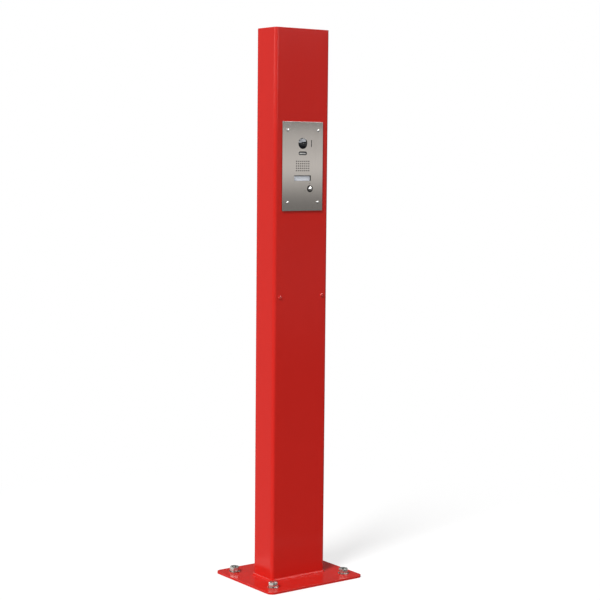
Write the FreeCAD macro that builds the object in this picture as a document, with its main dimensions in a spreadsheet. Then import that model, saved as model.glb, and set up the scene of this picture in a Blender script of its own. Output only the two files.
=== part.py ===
import FreeCAD, Part
import math
import os
import re
from FreeCAD import Placement, Rotation, Vector
from Sketcher import Constraint

# Gate intercom post: a rectangular steel tube on a base plate, fixed down by four ground anchors,
# with a flush stainless door station near its top. Millimetres, +Z up, front towards -Y.
# The origin is on the tube's centre line at the underside of the base plate, which is ground level.
# "Depth" in the names below is the distance in front of the tube's centre plane.

doc = FreeCAD.newDocument("gate_intercom_post")
sheet = doc.addObject("Spreadsheet::Sheet", "Size")

# Driving sizes, one row of the sheet each.
SIZES = {
    # Post
    "post_width": 180,  # outside width of the tube
    "post_depth": 90,  # outside depth of the tube
    "post_wall": 3,  # wall of the tube
    "post_corner": 9,  # outside radius of the tube's upright corners
    "tube_length": 1500,  # length of the tube
    "cap_thickness": 3,  # thickness of the welded top
    "cap_edge": 1,  # rounding of the top's rim, where the weld is ground flush
    "base_width": 316,  # width of the base plate
    "base_depth": 272,  # depth of the base plate, front to back
    "base_thickness": 6,  # thickness of the base plate
    "base_corner": 18,  # corner radius of the base plate
    "base_edge": 0.8,  # rounding of the base plate's upper rim
    "cable_opening_width": 100,  # width of the cable opening in the base plate
    "cable_opening_depth": 44,  # cable opening, front to back
    "cable_opening_corner": 10,  # corner radius of the cable opening
    "weld_leg": 5,  # leg of the fillet weld at the foot
    "weld_land": 0.8,  # flat left at the weld's two edges

    # Ground anchors
    "anchor_spacing_x": 240,  # anchor spacing across the front
    "anchor_spacing_y": 188,  # anchor spacing, front to back
    "anchor_diameter": 16,  # shank of the anchor studs
    "anchor_thread": 15.6,  # threaded end of the studs, drawn plain
    "anchor_runout": 0.5,  # lower end of that thread below the base plate
    "anchor_hole": 18,  # anchor hole in the base plate
    "anchor_depth": 90,  # length of a stud below ground
    "anchor_neck": 12,  # neck of a stud, where its sleeve sits
    "anchor_cone": 12,  # length of the spreading cone at a stud's lower end
    "sleeve_length": 22,  # length of an expansion sleeve
    "sleeve_diameter": 15.6,  # outside diameter of an expansion sleeve before it spreads
    "sleeve_slit": 2,  # slit of an expansion sleeve
    "anchor_washer_diameter": 30,  # washer under an anchor nut
    "anchor_washer_hole": 17,  # hole of that washer
    "anchor_washer_thickness": 3,  # thickness of that washer
    "anchor_nut_flats": 24,  # anchor nut across its flats
    "anchor_nut_height": 13,  # height of an anchor nut
    "stud_proud": 0.6,  # stud end above its nut
    "stud_chamfer": 1.2,  # chamfer of the stud's end
    "thread_gap": 0.1,  # radial gap between a thread and its nut

    # Cross bracket at mid height
    "bracket_height": 787,  # height of the two small screws above ground
    "bracket_screw_inset": 19.5,  # these screws from the tube's sides
    "bracket_screw_diameter": 6,  # shank of these screws
    "bracket_screw_head": 10.5,  # head of these screws
    "bracket_screw_head_height": 3.3,  # height of these heads
    "bracket_screw_length": 14,  # length of these shanks
    "bracket_screw_hole": 6.6,  # hole for these screws
    "bracket_screw_socket": 4,  # hexagon socket of these screws across its flats
    "bracket_side_gap": 7,  # gap beside the bracket, clear of the tube's inner corners
    "bracket_web": 60,  # height of the bracket's web
    "bracket_flange": 26,  # depth of the bracket's flanges
    "bracket_sheet": 2.5,  # sheet thickness of the bracket
    "bracket_bend": 2,  # inside radius of the bracket's bends
    "bracket_nut_flats": 10,  # nut of these screws across its flats
    "bracket_nut_height": 5,  # height of these nuts
    "tie_slot_length": 16,  # length of a cable tie slot
    "tie_slot_width": 5,  # width of a cable tie slot
    "tie_slot_pitch": 40,  # distance between cable tie slots

    # Door station plate
    "station_height": 1140,  # height of the plate's centre above ground
    "plate_width": 135,  # width of the face plate
    "plate_height": 240,  # height of the face plate
    "plate_thickness": 2,  # thickness of the face plate
    "plate_corner": 1.5,  # corner radius of the face plate
    "plate_edge": 0.3,  # rounding of the face plate's front rim
    "gasket_thickness": 1,  # seal between the plate and the tube
    "gasket_inset": 1.5,  # how far the seal stays inside the plate's edge
    "cutout_width": 118,  # width of the cut-out in the tube
    "cutout_height": 222,  # height of the cut-out in the tube
    "cutout_corner": 4,  # corner radius of the cut-out
    "plate_screw_spacing_x": 101,  # corner screws of the plate, across
    "plate_screw_spacing_z": 194,  # corner screws of the plate, up
    "plate_screw_diameter": 4,  # shank of the corner screws
    "plate_screw_head": 8,  # head of the corner screws
    "plate_screw_head_height": 2.4,  # height of these heads
    "plate_screw_length": 12,  # length of these shanks
    "plate_screw_hole": 4.6,  # hole for a corner screw in the plate
    "plate_screw_socket": 2.5,  # hexagon socket of these screws across its flats

    # Back box and its carrier
    "box_gap": 1.5,  # gap between the back box and the cut-out
    "box_depth": 46,  # depth of the back box
    "box_wall": 1.5,  # sheet thickness of the back box
    "box_corner": 3,  # corner radius of the back box
    "box_tab": 17,  # side of a corner tab of the back box
    "box_screw_spacing_x": 50,  # screws through the box's back, across
    "box_screw_spacing_z": 90,  # screws through the box's back, up
    "box_screw_diameter": 5,  # shank of these screws
    "box_screw_head": 9,  # head of these screws
    "box_screw_head_height": 2.8,  # height of these heads
    "box_screw_length": 12,  # length of these shanks
    "box_screw_socket": 3,  # hexagon socket of these screws across its flats
    "box_screw_hole": 5.5,  # hole for these screws
    "carrier_width": 80,  # width of the carrier's web
    "carrier_tall": 140,  # height of the carrier
    "carrier_foot": 15,  # width of a foot of the carrier
    "carrier_sheet": 3,  # sheet thickness of the carrier
    "carrier_nut_flats": 8,  # weld nut across its flats
    "carrier_nut_height": 4,  # height of a weld nut
    "grommet_hole": 20,  # cable hole in the bottom of the box
    "grommet_depth": 20,  # depth of that hole in front of the centre plane
    "grommet_flange": 2,  # how far the grommet's flanges reach past its hole
    "grommet_rim": 2,  # thickness of a grommet flange
    "grommet_membrane": 1,  # thickness of the grommet's membrane

    # Casing of the electronics, hung behind the plate
    "module_width": 104,  # width of the casing
    "module_tall": 172,  # height of the casing
    "module_depth": 32,  # depth of the casing
    "module_wall": 2,  # wall of the casing
    "module_corner": 4,  # corner radius of the casing
    "standoff_spacing_x": 92,  # spacers between plate and casing, across
    "standoff_spacing_z": 158,  # spacers between plate and casing, up
    "standoff_diameter": 6,  # diameter of such a spacer
    "standoff_bore_depth": 12,  # tapped depth of such a spacer
    "housing_screw_diameter": 3,  # shank of the casing screws
    "housing_screw_head": 5.6,  # head of the casing screws
    "housing_screw_head_height": 1.8,  # height of these heads
    "housing_screw_length": 8,  # length of these shanks
    "housing_screw_socket": 2,  # hexagon socket of these screws across its flats
    "terminal_width": 26,  # width of the terminal block
    "terminal_tall": 14,  # height of the terminal block
    "terminal_depth": 10,  # depth of the terminal block
    "terminal_drop": 20,  # terminal block below the plate's centre
    "terminal_pitch": 6,  # distance between terminals
    "terminal_screw_diameter": 3.6,  # diameter of a terminal screw
    "terminal_screw_length": 6,  # length of a terminal screw
    "terminal_bore_depth": 8,  # depth of the bore above a terminal screw
    "terminal_slot": 0.8,  # slot of a terminal screw
    "terminal_slot_depth": 1,  # depth of that slot
    "wire_entry": 4,  # side of a wire entry of the terminal block
    "wire_entry_depth": 5,  # depth of a wire entry
    "block_corner": 0.5,  # corner radius of the small moulded parts

    # Circuit board
    "board_width": 96,  # width of the circuit board
    "board_tall": 116,  # height of the circuit board
    "board_drop": 16,  # board's centre below the plate's centre
    "board_thickness": 1.6,  # thickness of the circuit board
    "board_rise": 7,  # board above the floor of the casing
    "board_screw_spacing_x": 86,  # board screws, across
    "board_screw_spacing_z": 104,  # board screws, up
    "board_screw_diameter": 2.5,  # shank of the board screws
    "board_screw_head": 4.6,  # head of the board screws
    "board_screw_head_height": 1.6,  # height of these heads
    "board_screw_length": 7,  # length of these shanks
    "board_screw_socket": 1.5,  # hexagon socket of these screws across its flats
    "board_spacer_diameter": 5,  # diameter of a board spacer
    "chip_side": 14,  # side of the processor
    "chip_thickness": 1.4,  # thickness of the processor
    "chip_from_edge": 28,  # processor's centre from the board's left and lower edges
    "pin_corner": 0.1,  # corner radius of the smallest parts
    "capacitor_diameter": 8,  # diameter of a capacitor
    "capacitor_tall": 11.5,  # length of a capacitor
    "capacitor_pitch": 12,  # distance between capacitors
    "capacitor_edge": 0.5,  # bevel at a capacitor's top
    "capacitor_from_side": 12,  # first capacitor from the board's left edge
    "capacitor_from_below": 8,  # capacitors from the board's lower edge

    # Camera
    "camera_rise": 62,  # camera above the plate's centre
    "camera_hole": 30,  # camera hole in the plate
    "camera_setback": 13.5,  # tilt axis behind the plate's back face
    "dome_gap": 0.3,  # gap around the camera window in the plate
    "dome_rise": 2.5,  # window's crown in front of the plate
    "dome_wall": 1.5,  # thickness of the camera window
    "dome_flange": 4,  # width of the window's flange
    "ball_radius": 13,  # radius of the camera ball
    "trunnion_diameter": 5,  # diameter of the camera ball's trunnions
    "trunnion_gap": 0.08,  # radial running gap of the trunnions
    "trunnion_reach": 20.5,  # end of the short trunnion from the camera's centre
    "cradle_inside": 34,  # distance between the cradle's arms
    "cradle_arm": 2.5,  # thickness of a cradle arm
    "cradle_eye": 10,  # width of a cradle arm and its eye
    "cradle_base_width": 46,  # width of the cradle's base
    "cradle_base_tall": 18,  # height of the cradle's base
    "cradle_base": 2,  # thickness of the cradle's base
    "cradle_screw_spacing": 30,  # distance between the cradle's screws
    "lens_barrel_diameter": 13,  # bore in the ball for the lens barrel
    "lens_barrel_depth": 7,  # depth of that bore
    "lens_diameter": 8.4,  # diameter of the lens
    "lens_gap": 0.1,  # radial gap of the barrel and of the lens
    "barrel_recess": 0.7,  # barrel's end behind the ball's front
    "lens_seat": 1.75,  # lens in front of the bore's floor
    "lens_rim": 0.8,  # height of the lens at its rim
    "lens_rise": 1.8,  # height of the lens's dome
    "barrel_funnel": 1,  # width of the funnel in front of the lens
    "barrel_shoulder": 2.5,  # funnel's start in front of the lens's seat
    "slit_offset": 29,  # lever slit beside the camera's centre
    "slit_length": 19,  # length of the lever slit
    "slit_width": 2.4,  # width of the lever slit
    "lever_thickness": 1.8,  # thickness of the lever's arm
    "lever_width": 2.6,  # width of the lever's arm
    "lever_boss": 8,  # diameter of the lever's boss
    "lever_boss_width": 4,  # width of the lever's boss
    "lever_recess": 0.4,  # lever tip behind the plate's front face

    # Lamp under the camera
    "lamp_rise": 35.3,  # lamp window above the plate's centre
    "lamp_width": 27.5,  # width of the lamp opening
    "lamp_tall": 10,  # height of the lamp opening
    "lamp_gap": 0.2,  # gap around the lamp window
    "lamp_recess": 1.2,  # lamp window behind the plate's front face
    "lamp_flange": 1.8,  # width of the lamp window's flange
    "lamp_flange_thickness": 1.2,  # thickness of that flange
    "lamp_board_width": 30,  # width of the lamp's board
    "lamp_board_tall": 11,  # height of the lamp's board
    "lamp_board_thickness": 1.2,  # thickness of the lamp's board
    "lamp_diode_diameter": 4,  # diameter of a light diode
    "lamp_diode_tall": 2,  # height of a light diode
    "lamp_diode_pitch": 5,  # distance between light diodes
    "header_width": 15,  # width of the pin header behind the lamp
    "header_tall": 2.5,  # height of that header

    # Loudspeaker
    "grille_rise": 1,  # grille above the plate's centre
    "grille_columns": 7,  # columns of grille holes
    "grille_rows": 5,  # rows of grille holes
    "grille_pitch_x": 6.85,  # distance between columns
    "grille_pitch_z": 6.3,  # distance between rows
    "grille_hole": 3.5,  # diameter of a grille hole
    "speaker_radius": 21,  # radius of the loudspeaker
    "speaker_mesh_thickness": 0.6,  # cloth between plate and loudspeaker
    "speaker_mesh_margin": 2.5,  # cloth past the outermost grille holes
    "speaker_mesh_corner": 4,  # corner radius of the cloth
    "speaker_rim": 2.4,  # width of the loudspeaker's rim
    "speaker_rim_thickness": 1.4,  # thickness of that rim
    "speaker_depth": 11,  # depth of the loudspeaker's basket
    "speaker_basket_radius": 13,  # radius of the basket's back
    "speaker_sheet": 1.2,  # sheet thickness of the basket
    "speaker_pole_hole": 5,  # radius of the hole in the basket's back
    "speaker_gap": 0.3,  # gap of the cone and of the pole in the basket
    "cone_thickness": 0.5,  # thickness of the cone
    "cone_depth": 7,  # depth of the cone
    "cone_neck": 6,  # radius of the cone's neck
    "magnet_radius": 11,  # radius of the magnet
    "magnet_thickness": 6,  # thickness of the magnet
    "pole_length": 3,  # length of the pole in front of the magnet

    # Name window
    "name_drop": 31.5,  # name window below the plate's centre
    "name_width": 55.5,  # width of the name opening
    "name_tall": 14.8,  # height of the name opening
    "name_corner": 0.8,  # corner radius of the name opening
    "name_gap": 0.2,  # gap around the name window
    "name_well": 2,  # name window behind the plate's back face
    "name_pane": 1,  # thickness of the name window
    "card_thickness": 0.4,  # thickness of the name card
    "card_gap": 0.2,  # gap around the card in its holder
    "holder_wall": 1.8,  # wall of the card holder
    "holder_depth": 6.4,  # depth of the card holder

    # Call button
    "button_offset": 25,  # call button beside the plate's centre
    "button_drop": 60.3,  # call button below the plate's centre
    "button_hole": 16,  # button hole in the plate
    "bezel_radius": 9.5,  # outside radius of the button's bezel
    "bezel_rise": 1.2,  # bezel in front of the plate
    "bezel_bevel": 0.9,  # bevel around the bezel's front
    "bezel_gap": 0.2,  # radial gap of the bezel in the plate
    "bezel_bore": 6.4,  # radius of the bezel's bore
    "bezel_length": 12,  # bezel behind the plate's front face
    "bezel_web": 1.5,  # thickness of the web at the bezel's back
    "bezel_nut_flats": 19,  # bezel nut across its flats
    "bezel_nut_height": 3,  # height of the bezel nut
    "button_gap": 0.2,  # radial gap of the button in its bezel
    "button_rise": 1.2,  # shoulder of the button in front of the plate
    "button_crown": 1.4,  # height of the button's crown
    "button_length": 6.3,  # length of the button behind its shoulder
    "button_skirt": 1.3,  # wall of the button's skirt
    "button_pocket": 3,  # depth of the spring pocket in the button
    "stem_radius": 2.3,  # radius of the button's stem
    "stem_gap": 0.3,  # radial gap of the stem in the web
    "button_travel": 1.5,  # travel of the call button
    "clip_radius": 4.2,  # outside radius of the clip on the stem
    "clip_thickness": 0.6,  # thickness of that clip
    "clip_gap": 0.2,  # clip behind the web
    "clip_mouth": 3.6,  # mouth of that clip
    "stem_end": 0.8,  # stem behind the clip
    "spring_wire": 0.5,  # wire of the return spring
    "spring_radius": 3.6,  # mean radius of the return spring
    "spring_turns": 5,  # turns of the return spring
    "spring_seat": 0.1,  # gap at each end of the return spring
    "switch_side": 6.2,  # side of the switch's body
    "switch_body": 3.5,  # height of the switch's body
    "switch_plunger_radius": 1.7,  # radius of the switch's plunger
    "switch_gap": 0.2,  # plunger short of the pressed stem

    # Microphone and status light
    "mic_offset": 8.6,  # microphone beside the plate's centre
    "mic_drop": 65.2,  # microphone below the plate's centre
    "mic_hole": 1.6,  # microphone hole in the plate
    "mic_boot_radius": 5.4,  # radius of the microphone's rubber boot
    "mic_boot_depth": 6,  # depth of that boot
    "mic_boot_face": 1.5,  # thickness of the boot's face
    "mic_radius": 4.65,  # radius of the microphone capsule
    "mic_length": 4.2,  # length of the capsule
    "mic_gap": 0.1,  # gap of the capsule in its boot
    "status_offset": 23.7,  # status light beside the plate's centre
    "status_drop": 45.9,  # status light below the plate's centre
    "status_hole": 2.2,  # status hole in the plate
    "status_gap": 0.1,  # radial gap of the light pipe in the plate
    "status_recess": 0.2,  # light pipe behind the plate's front face
    "status_flange_radius": 2,  # radius of the light pipe's flange
    "status_flange": 1,  # thickness of that flange
    "status_led_side": 2,  # side of the status diode
    "status_led_tall": 1.2,  # height of the status diode
}
for row, (alias, number) in enumerate(SIZES.items(), 1):
    sheet.set(f"A{row}", alias)
    sheet.set(f"B{row}", str(number))
    sheet.setAlias(f"B{row}", alias)
doc.recompute()

# Places worked out from the sizes. Depths are measured forwards from the centre plane.
TUBE_TOP = "(base_thickness + tube_length)"
TUBE_FRONT = "(post_depth / 2)"
TUBE_INSIDE = "(post_depth / 2 - post_wall)"
PLATE_BACK = "(post_depth / 2 + gasket_thickness)"
PLATE_FRONT = f"({PLATE_BACK} + plate_thickness)"
BOX_BACK = f"({PLATE_BACK} - box_depth)"
BOX_WIDTH = "(cutout_width - 2 * box_gap)"
BOX_TALL = "(cutout_height - 2 * box_gap)"
MODULE_BACK = f"({PLATE_BACK} - module_depth)"
MODULE_FLOOR = f"({MODULE_BACK} + module_wall)"
BOARD_BACK = f"({MODULE_FLOOR} + board_rise)"
BOARD_FRONT = f"({BOARD_BACK} + board_thickness)"
CAMERA_Z = "(station_height + camera_rise)"
CAMERA_DEPTH = f"({PLATE_BACK} - camera_setback)"
ARM_OUTSIDE = "(cradle_inside / 2 + cradle_arm)"
LAMP_Z = "(station_height + lamp_rise)"
LAMP_BOARD_FRONT = f"({PLATE_BACK} - lamp_flange_thickness - lamp_diode_tall)"
GRILLE_Z = "(station_height + grille_rise)"
SPEAKER_FRONT = f"({PLATE_BACK} - speaker_mesh_thickness)"
SPEAKER_BACK = f"({SPEAKER_FRONT} - speaker_depth)"
NAME_Z = "(station_height - name_drop)"
NAME_FRONT = f"({PLATE_BACK} - name_well)"
BUTTON_Z = "(station_height - button_drop)"
BEZEL_BACK = f"({PLATE_FRONT} - bezel_length)"
BUTTON_SHOULDER = f"({PLATE_FRONT} + button_rise)"
BUTTON_POCKET = f"({BUTTON_SHOULDER} - button_length + button_pocket)"
CLIP_FRONT = f"({BEZEL_BACK} - clip_gap)"
STEM_END = f"({CLIP_FRONT} - clip_thickness - stem_end)"
MIC_Z = "(station_height - mic_drop)"
STATUS_Z = "(station_height - status_drop)"
BRACKET_FRONT = TUBE_INSIDE
BRACKET_SPACING = "(post_width - 2 * bracket_screw_inset)"

# A fastener is drawn upright, its seat at the origin and its head up, and is then turned.
FACING_FRONT = Rotation(Vector(1, 0, 0), 90)
FACING_BACK = Rotation(Vector(1, 0, 0), -90)


def formula(text):
    """A formula with each named size looked up in the sheet."""
    return re.sub("[a-z_]+", lambda word: f"Size.{word[0]}" if word[0] in SIZES else word[0], text)


def value(text):
    """The number that a formula gives now."""
    return float(sheet.evalExpression(formula(text)))


def bind(target, name, text):
    """Keep a property or a constraint at a formula of the sizes."""
    target.setExpression(name, formula(text))


def corners(across, along):
    """The four corner places of a rectangular pattern."""
    return [(f"{side} * {across} / 2", f"{end} * {along} / 2") for side in (-1, 1) for end in (-1, 1)]


def new_body(label):
    body = doc.addObject("PartDesign::Body", label)
    body.Label = label
    return body


def sketch_on(body, role, x, y, z, turn=0):
    """A sketch on one of the body's own origin planes, moved by x, y, z in that plane's axes."""
    sketch = body.newObject("Sketcher::SketchObject", f"{body.Name}_sketch")
    plane = next(item for item in body.Origin.OriginFeatures if item.Role == role)
    sketch.AttachmentSupport = [(plane, "")]
    sketch.MapMode = "FlatFace"
    sketch.AttachmentOffset = Placement(Vector(), Rotation(Vector(0, 0, 1), turn))
    for axis, text in zip("xyz", (x, y, z)):
        bind(sketch, f"AttachmentOffset.Base.{axis}", text)
    return sketch


def plan(body, height="0", x="0", y="0"):
    """A level sketch. Pads rise from it and pockets cut down."""
    return sketch_on(body, "XY_Plane", x, y, height)


def front(body, depth, height="0", x="0"):
    """A sketch parallel to the front face. Pads come forwards from it and pockets cut back."""
    return sketch_on(body, "XZ_Plane", x, height, depth)


def side(body, x, depth="0", height="0"):
    """A sketch seen from the side, its own x axis pointing back. Pads go towards +X, pockets to -X."""
    return sketch_on(body, "YZ_Plane", f"-({depth})", height, x)


def dimension(sketch, kind, places, text):
    index = sketch.addConstraint(Constraint(kind, *places, value(text)))
    bind(sketch, f"Constraints[{index}]", text)


def pin_point(sketch, shape, point, x, y):
    """Hold one point of a sketch at the coordinates x, y."""
    dimension(sketch, "DistanceX", (-1, 1, shape, point), x)
    dimension(sketch, "DistanceY", (-1, 1, shape, point), y)


def add_line(sketch, start, end):
    return sketch.addGeometry(Part.LineSegment(Vector(*start, 0), Vector(*end, 0)))


def add_arc(sketch, centre, radius, first, last):
    circle = Part.Circle(Vector(*centre, 0), Vector(0, 0, 1), radius)
    return sketch.addGeometry(Part.ArcOfCircle(circle, first, last))


def add_circle(sketch, diameter, x="0", y="0"):
    centre = Vector(value(x), value(y), 0)
    circle = sketch.addGeometry(Part.Circle(centre, Vector(0, 0, 1), value(diameter) / 2))
    dimension(sketch, "Diameter", (circle,), diameter)
    pin_point(sketch, circle, 3, x, y)


def add_outline(sketch, points, domes=()):
    """A closed outline. The side after each point counted in domes is an arc about the own y axis."""
    spots = [(value(x), value(y)) for x, y in points]
    following = spots[1:] + spots[:1]
    sides = []
    for number, (start, end) in enumerate(zip(spots, following)):
        if number not in domes:
            sides.append((add_line(sketch, start, end), 1, 2))
            continue
        middle = (math.hypot(*end) ** 2 - math.hypot(*start) ** 2) / (2 * (end[1] - start[1]))
        angles = [math.atan2(y - middle, x) for x, y in (start, end)]
        arc = add_arc(sketch, (0, middle), math.hypot(start[0], start[1] - middle), min(angles), max(angles))
        sides.append((arc, 1, 2) if angles[0] < angles[1] else (arc, 2, 1))
    for number, (shape, first, last) in enumerate(sides):
        follower, follower_first, _ = sides[(number + 1) % len(sides)]
        sketch.addConstraint(Constraint("Coincident", shape, last, follower, follower_first))
        pin_point(sketch, shape, first, *points[number])
    for number in domes:
        sketch.addConstraint(Constraint("PointOnObject", sides[number][0], 3, -2))


def join_tangent(sketch, shapes):
    """Join lines and arcs end to end, each running smoothly into the next."""
    for shape, follower in zip(shapes, shapes[1:] + shapes[:1]):
        sketch.addConstraint(Constraint("Tangent", shape, 2, follower, 1))


def add_rectangle(sketch, width, height, corner, x="0", y="0"):
    """A rectangle with rounded corners, centred at x, y."""
    w, h, r = value(width) / 2, value(height) / 2, value(corner)
    cx, cy = value(x), value(y)
    turns = ((1, 1), (-1, 1), (-1, -1), (1, -1))
    shapes = []
    arcs = []
    for number, (right, up) in enumerate(turns):
        centre = (cx + right * (w - r), cy + up * (h - r))
        arc = add_arc(sketch, centre, r, number * math.pi / 2, (number + 1) * math.pi / 2)
        next_right, next_up = turns[(number + 1) % 4]
        start = (centre[0] + r * math.cos((number + 1) * math.pi / 2),
                 centre[1] + r * math.sin((number + 1) * math.pi / 2))
        end = (cx + next_right * (w - r) + (start[0] - centre[0]),
               cy + next_up * (h - r) + (start[1] - centre[1]))
        shapes += [arc, add_line(sketch, start, end)]
        arcs.append(arc)
    join_tangent(sketch, shapes)
    dimension(sketch, "Radius", (arcs[0],), corner)
    for arc, (right, up) in zip(arcs, turns):
        pin_point(sketch, arc, 3, f"{x} + {right} * ({width} / 2 - {corner})",
                  f"{y} + {up} * ({height} / 2 - {corner})")
        if arc != arcs[0]:
            sketch.addConstraint(Constraint("Equal", arcs[0], arc))


def add_slot(sketch, length, width, x="0", y="0", upright=False):
    """A slot with round ends, centred at x, y, lying along x or standing along y."""
    reach = f"({length} - {width}) / 2"
    r, half = value(width) / 2, value(reach)
    cx, cy = value(x), value(y)
    base = math.pi / 2 if upright else 0
    ahead = (math.cos(base), math.sin(base))
    across = (-ahead[1], ahead[0])
    far, near = [(cx + end * half * ahead[0], cy + end * half * ahead[1]) for end in (1, -1)]
    offset = (r * across[0], r * across[1])
    far_arc = add_arc(sketch, far, r, base - math.pi / 2, base + math.pi / 2)
    top = add_line(sketch, (far[0] + offset[0], far[1] + offset[1]), (near[0] + offset[0], near[1] + offset[1]))
    near_arc = add_arc(sketch, near, r, base + math.pi / 2, base + 3 * math.pi / 2)
    low = add_line(sketch, (near[0] - offset[0], near[1] - offset[1]), (far[0] - offset[0], far[1] - offset[1]))
    join_tangent(sketch, [far_arc, top, near_arc, low])
    dimension(sketch, "Radius", (far_arc,), f"{width} / 2")
    sketch.addConstraint(Constraint("Equal", far_arc, near_arc))
    for arc, end in ((far_arc, 1), (near_arc, -1)):
        shift = f"{end} * {reach}"
        pin_point(sketch, arc, 3, x if upright else f"{x} + {shift}", f"{y} + {shift}" if upright else y)


def add_hexagon(sketch, flats):
    points = [(f"{flats} / sqrt(3) * cos({turn})", f"{flats} / sqrt(3) * sin({turn})")
              for turn in range(0, 360, 60)]
    add_outline(sketch, points)


def pad(sketch, length, backwards=False):
    feature = sketch.getParentGeoFeatureGroup().newObject("PartDesign::Pad", f"{sketch.Name}_pad")
    feature.Profile = sketch
    feature.Reversed = backwards
    bind(feature, "Length", length)
    return feature


def pocket(sketch, depth, backwards=False):
    feature = sketch.getParentGeoFeatureGroup().newObject("PartDesign::Pocket", f"{sketch.Name}_pocket")
    feature.Profile = sketch
    feature.Reversed = backwards
    bind(feature, "Length", depth)
    return feature


def revolve(sketch, kind="PartDesign::Revolution"):
    feature = sketch.getParentGeoFeatureGroup().newObject(kind, f"{sketch.Name}_turn")
    feature.Profile = sketch
    feature.ReferenceAxis = (sketch, ["V_Axis"])
    feature.Angle = 360
    return feature


def round_rim(feature, radius, kind="PartDesign::Fillet", facing=Vector(0, 0, 1)):
    """Round or bevel the outer edges of a feature's top face, or of the one that faces another way."""
    doc.recompute()
    shape = feature.Shape
    top = max(shape.Faces, key=lambda face: face.CenterOfMass.dot(facing))
    rim = [f"Edge{number}" for number, edge in enumerate(shape.Edges, 1)
           if any(edge.isSame(outer) for outer in top.OuterWire.Edges)]
    edge_feature = feature.getParentGeoFeatureGroup().newObject(kind, f"{feature.Name}_rim")
    edge_feature.Base = (feature, rim)
    bind(edge_feature, "Radius" if kind.endswith("Fillet") else "Size", radius)


def turned_up(label, points, domes=(), x="0", y="0", z="0"):
    """A piece turned about an upright axis, from an outline of radius and height."""
    body = new_body(label)
    sketch = sketch_on(body, "XZ_Plane", x, z, f"-({y})")
    add_outline(sketch, points, domes)
    revolve(sketch)
    return body


def turned_front(label, points, domes=(), x="0", z="0"):
    """A piece turned about an axis that points forwards, from an outline of radius and depth."""
    body = new_body(label)
    sketch = sketch_on(body, "XY_Plane", x, "0", z, turn=180)
    add_outline(sketch, points, domes)
    revolve(sketch)
    return body


def group(label, piece, places, turn=Rotation()):
    """Copies of one piece, as separate solids in one node."""
    copies = []
    for number, place in enumerate(places, 1):
        copy = doc.addObject("App::Link", f"{label}_{number}")
        copy.LinkedObject = piece
        copy.Placement = Placement(Vector(), turn)
        for axis, text in zip("xyz", place):
            bind(copy, f"Placement.Base.{axis}", text)
        copies.append(copy)
    node = doc.addObject("Part::Compound", label)
    node.Links = copies
    return node


def station_corners(across, up, depth, middle="station_height"):
    """The four places of a pattern on the door station, at one depth."""
    return [(x, f"-({depth})", f"{middle} + {z}") for x, z in corners(across, up)]


def screw(label, head, head_height, shank, length, socket):
    """A domed screw with a hexagon socket."""
    body = turned_up(label, [
        ("0", f"-({length})"),
        (f"{shank} / 2", f"-({length})"),
        (f"{shank} / 2", "0"),
        (f"{head} / 2", "0"),
        (f"{head} / 2", f"{head_height} / 4"),
        ("0", head_height),
    ], domes=(4,))
    recess = plan(body, head_height)
    add_hexagon(recess, socket)
    pocket(recess, f"{head_height} * 0.6")
    return body


def hex_nut(label, flats, height, bore, beveled=True):
    """A hexagon nut standing on the origin, its corners bevelled at top and bottom."""
    body = new_body(label)
    blank = plan(body)
    add_hexagon(blank, flats)
    pad(blank, height)
    hole = plan(body, height)
    add_circle(hole, bore)
    pocket(hole, height)
    if not beveled:
        return body
    bevel = sketch_on(body, "XZ_Plane", "0", "0", "0")
    inner, outer = f"{flats} * 0.48", f"{flats} * 0.6"
    drop = f"{flats} * 0.06"
    add_outline(bevel, [(inner, height), (outer, f"{height} - {drop}"), (outer, f"{height} + {drop}")])
    add_outline(bevel, [(inner, "0"), (outer, f"-{drop}"), (outer, drop)])
    revolve(bevel, "PartDesign::Groove")
    return body


def base_plate():
    body = new_body("base_plate")
    blank = plan(body)
    add_rectangle(blank, "base_width", "base_depth", "base_corner")
    round_rim(pad(blank, "base_thickness"), "base_edge")
    holes = plan(body, "base_thickness")
    add_rectangle(holes, "cable_opening_width", "cable_opening_depth", "cable_opening_corner")
    for x, y in corners("anchor_spacing_x", "anchor_spacing_y"):
        add_circle(holes, "anchor_hole", x, y)
    pocket(holes, "base_thickness")
    return body


def post_tube():
    body = new_body("post_tube")
    section = plan(body, "base_thickness")
    add_rectangle(section, "post_width", "post_depth", "post_corner")
    add_rectangle(section, "(post_width - 2 * post_wall)", "(post_depth - 2 * post_wall)",
                  "(post_corner - post_wall)")
    pad(section, "tube_length")
    cutout = front(body, TUBE_FRONT, "station_height")
    add_rectangle(cutout, "cutout_width", "cutout_height", "cutout_corner")
    pocket(cutout, "post_wall")
    holes = front(body, TUBE_FRONT, "bracket_height")
    for end in (-1, 1):
        add_circle(holes, "bracket_screw_hole", f"{end} * {BRACKET_SPACING} / 2")
    pocket(holes, "post_wall")
    return body


def top_cap():
    body = new_body("top_cap")
    outline = plan(body, TUBE_TOP)
    add_rectangle(outline, "post_width", "post_depth", "post_corner")
    round_rim(pad(outline, "cap_thickness"), "cap_edge")
    return body


def base_weld():
    body = new_body("base_weld")
    ring = plan(body, "base_thickness")
    add_rectangle(ring, "(post_width + 2 * weld_leg)", "(post_depth + 2 * weld_leg)", "(post_corner + weld_leg)")
    add_rectangle(ring, "post_width", "post_depth", "post_corner")
    round_rim(pad(ring, "weld_leg"), "weld_leg - weld_land", "PartDesign::Chamfer")
    return body


def anchor_places(height):
    return [(x, y, height) for x, y in corners("anchor_spacing_x", "anchor_spacing_y")]


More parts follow.
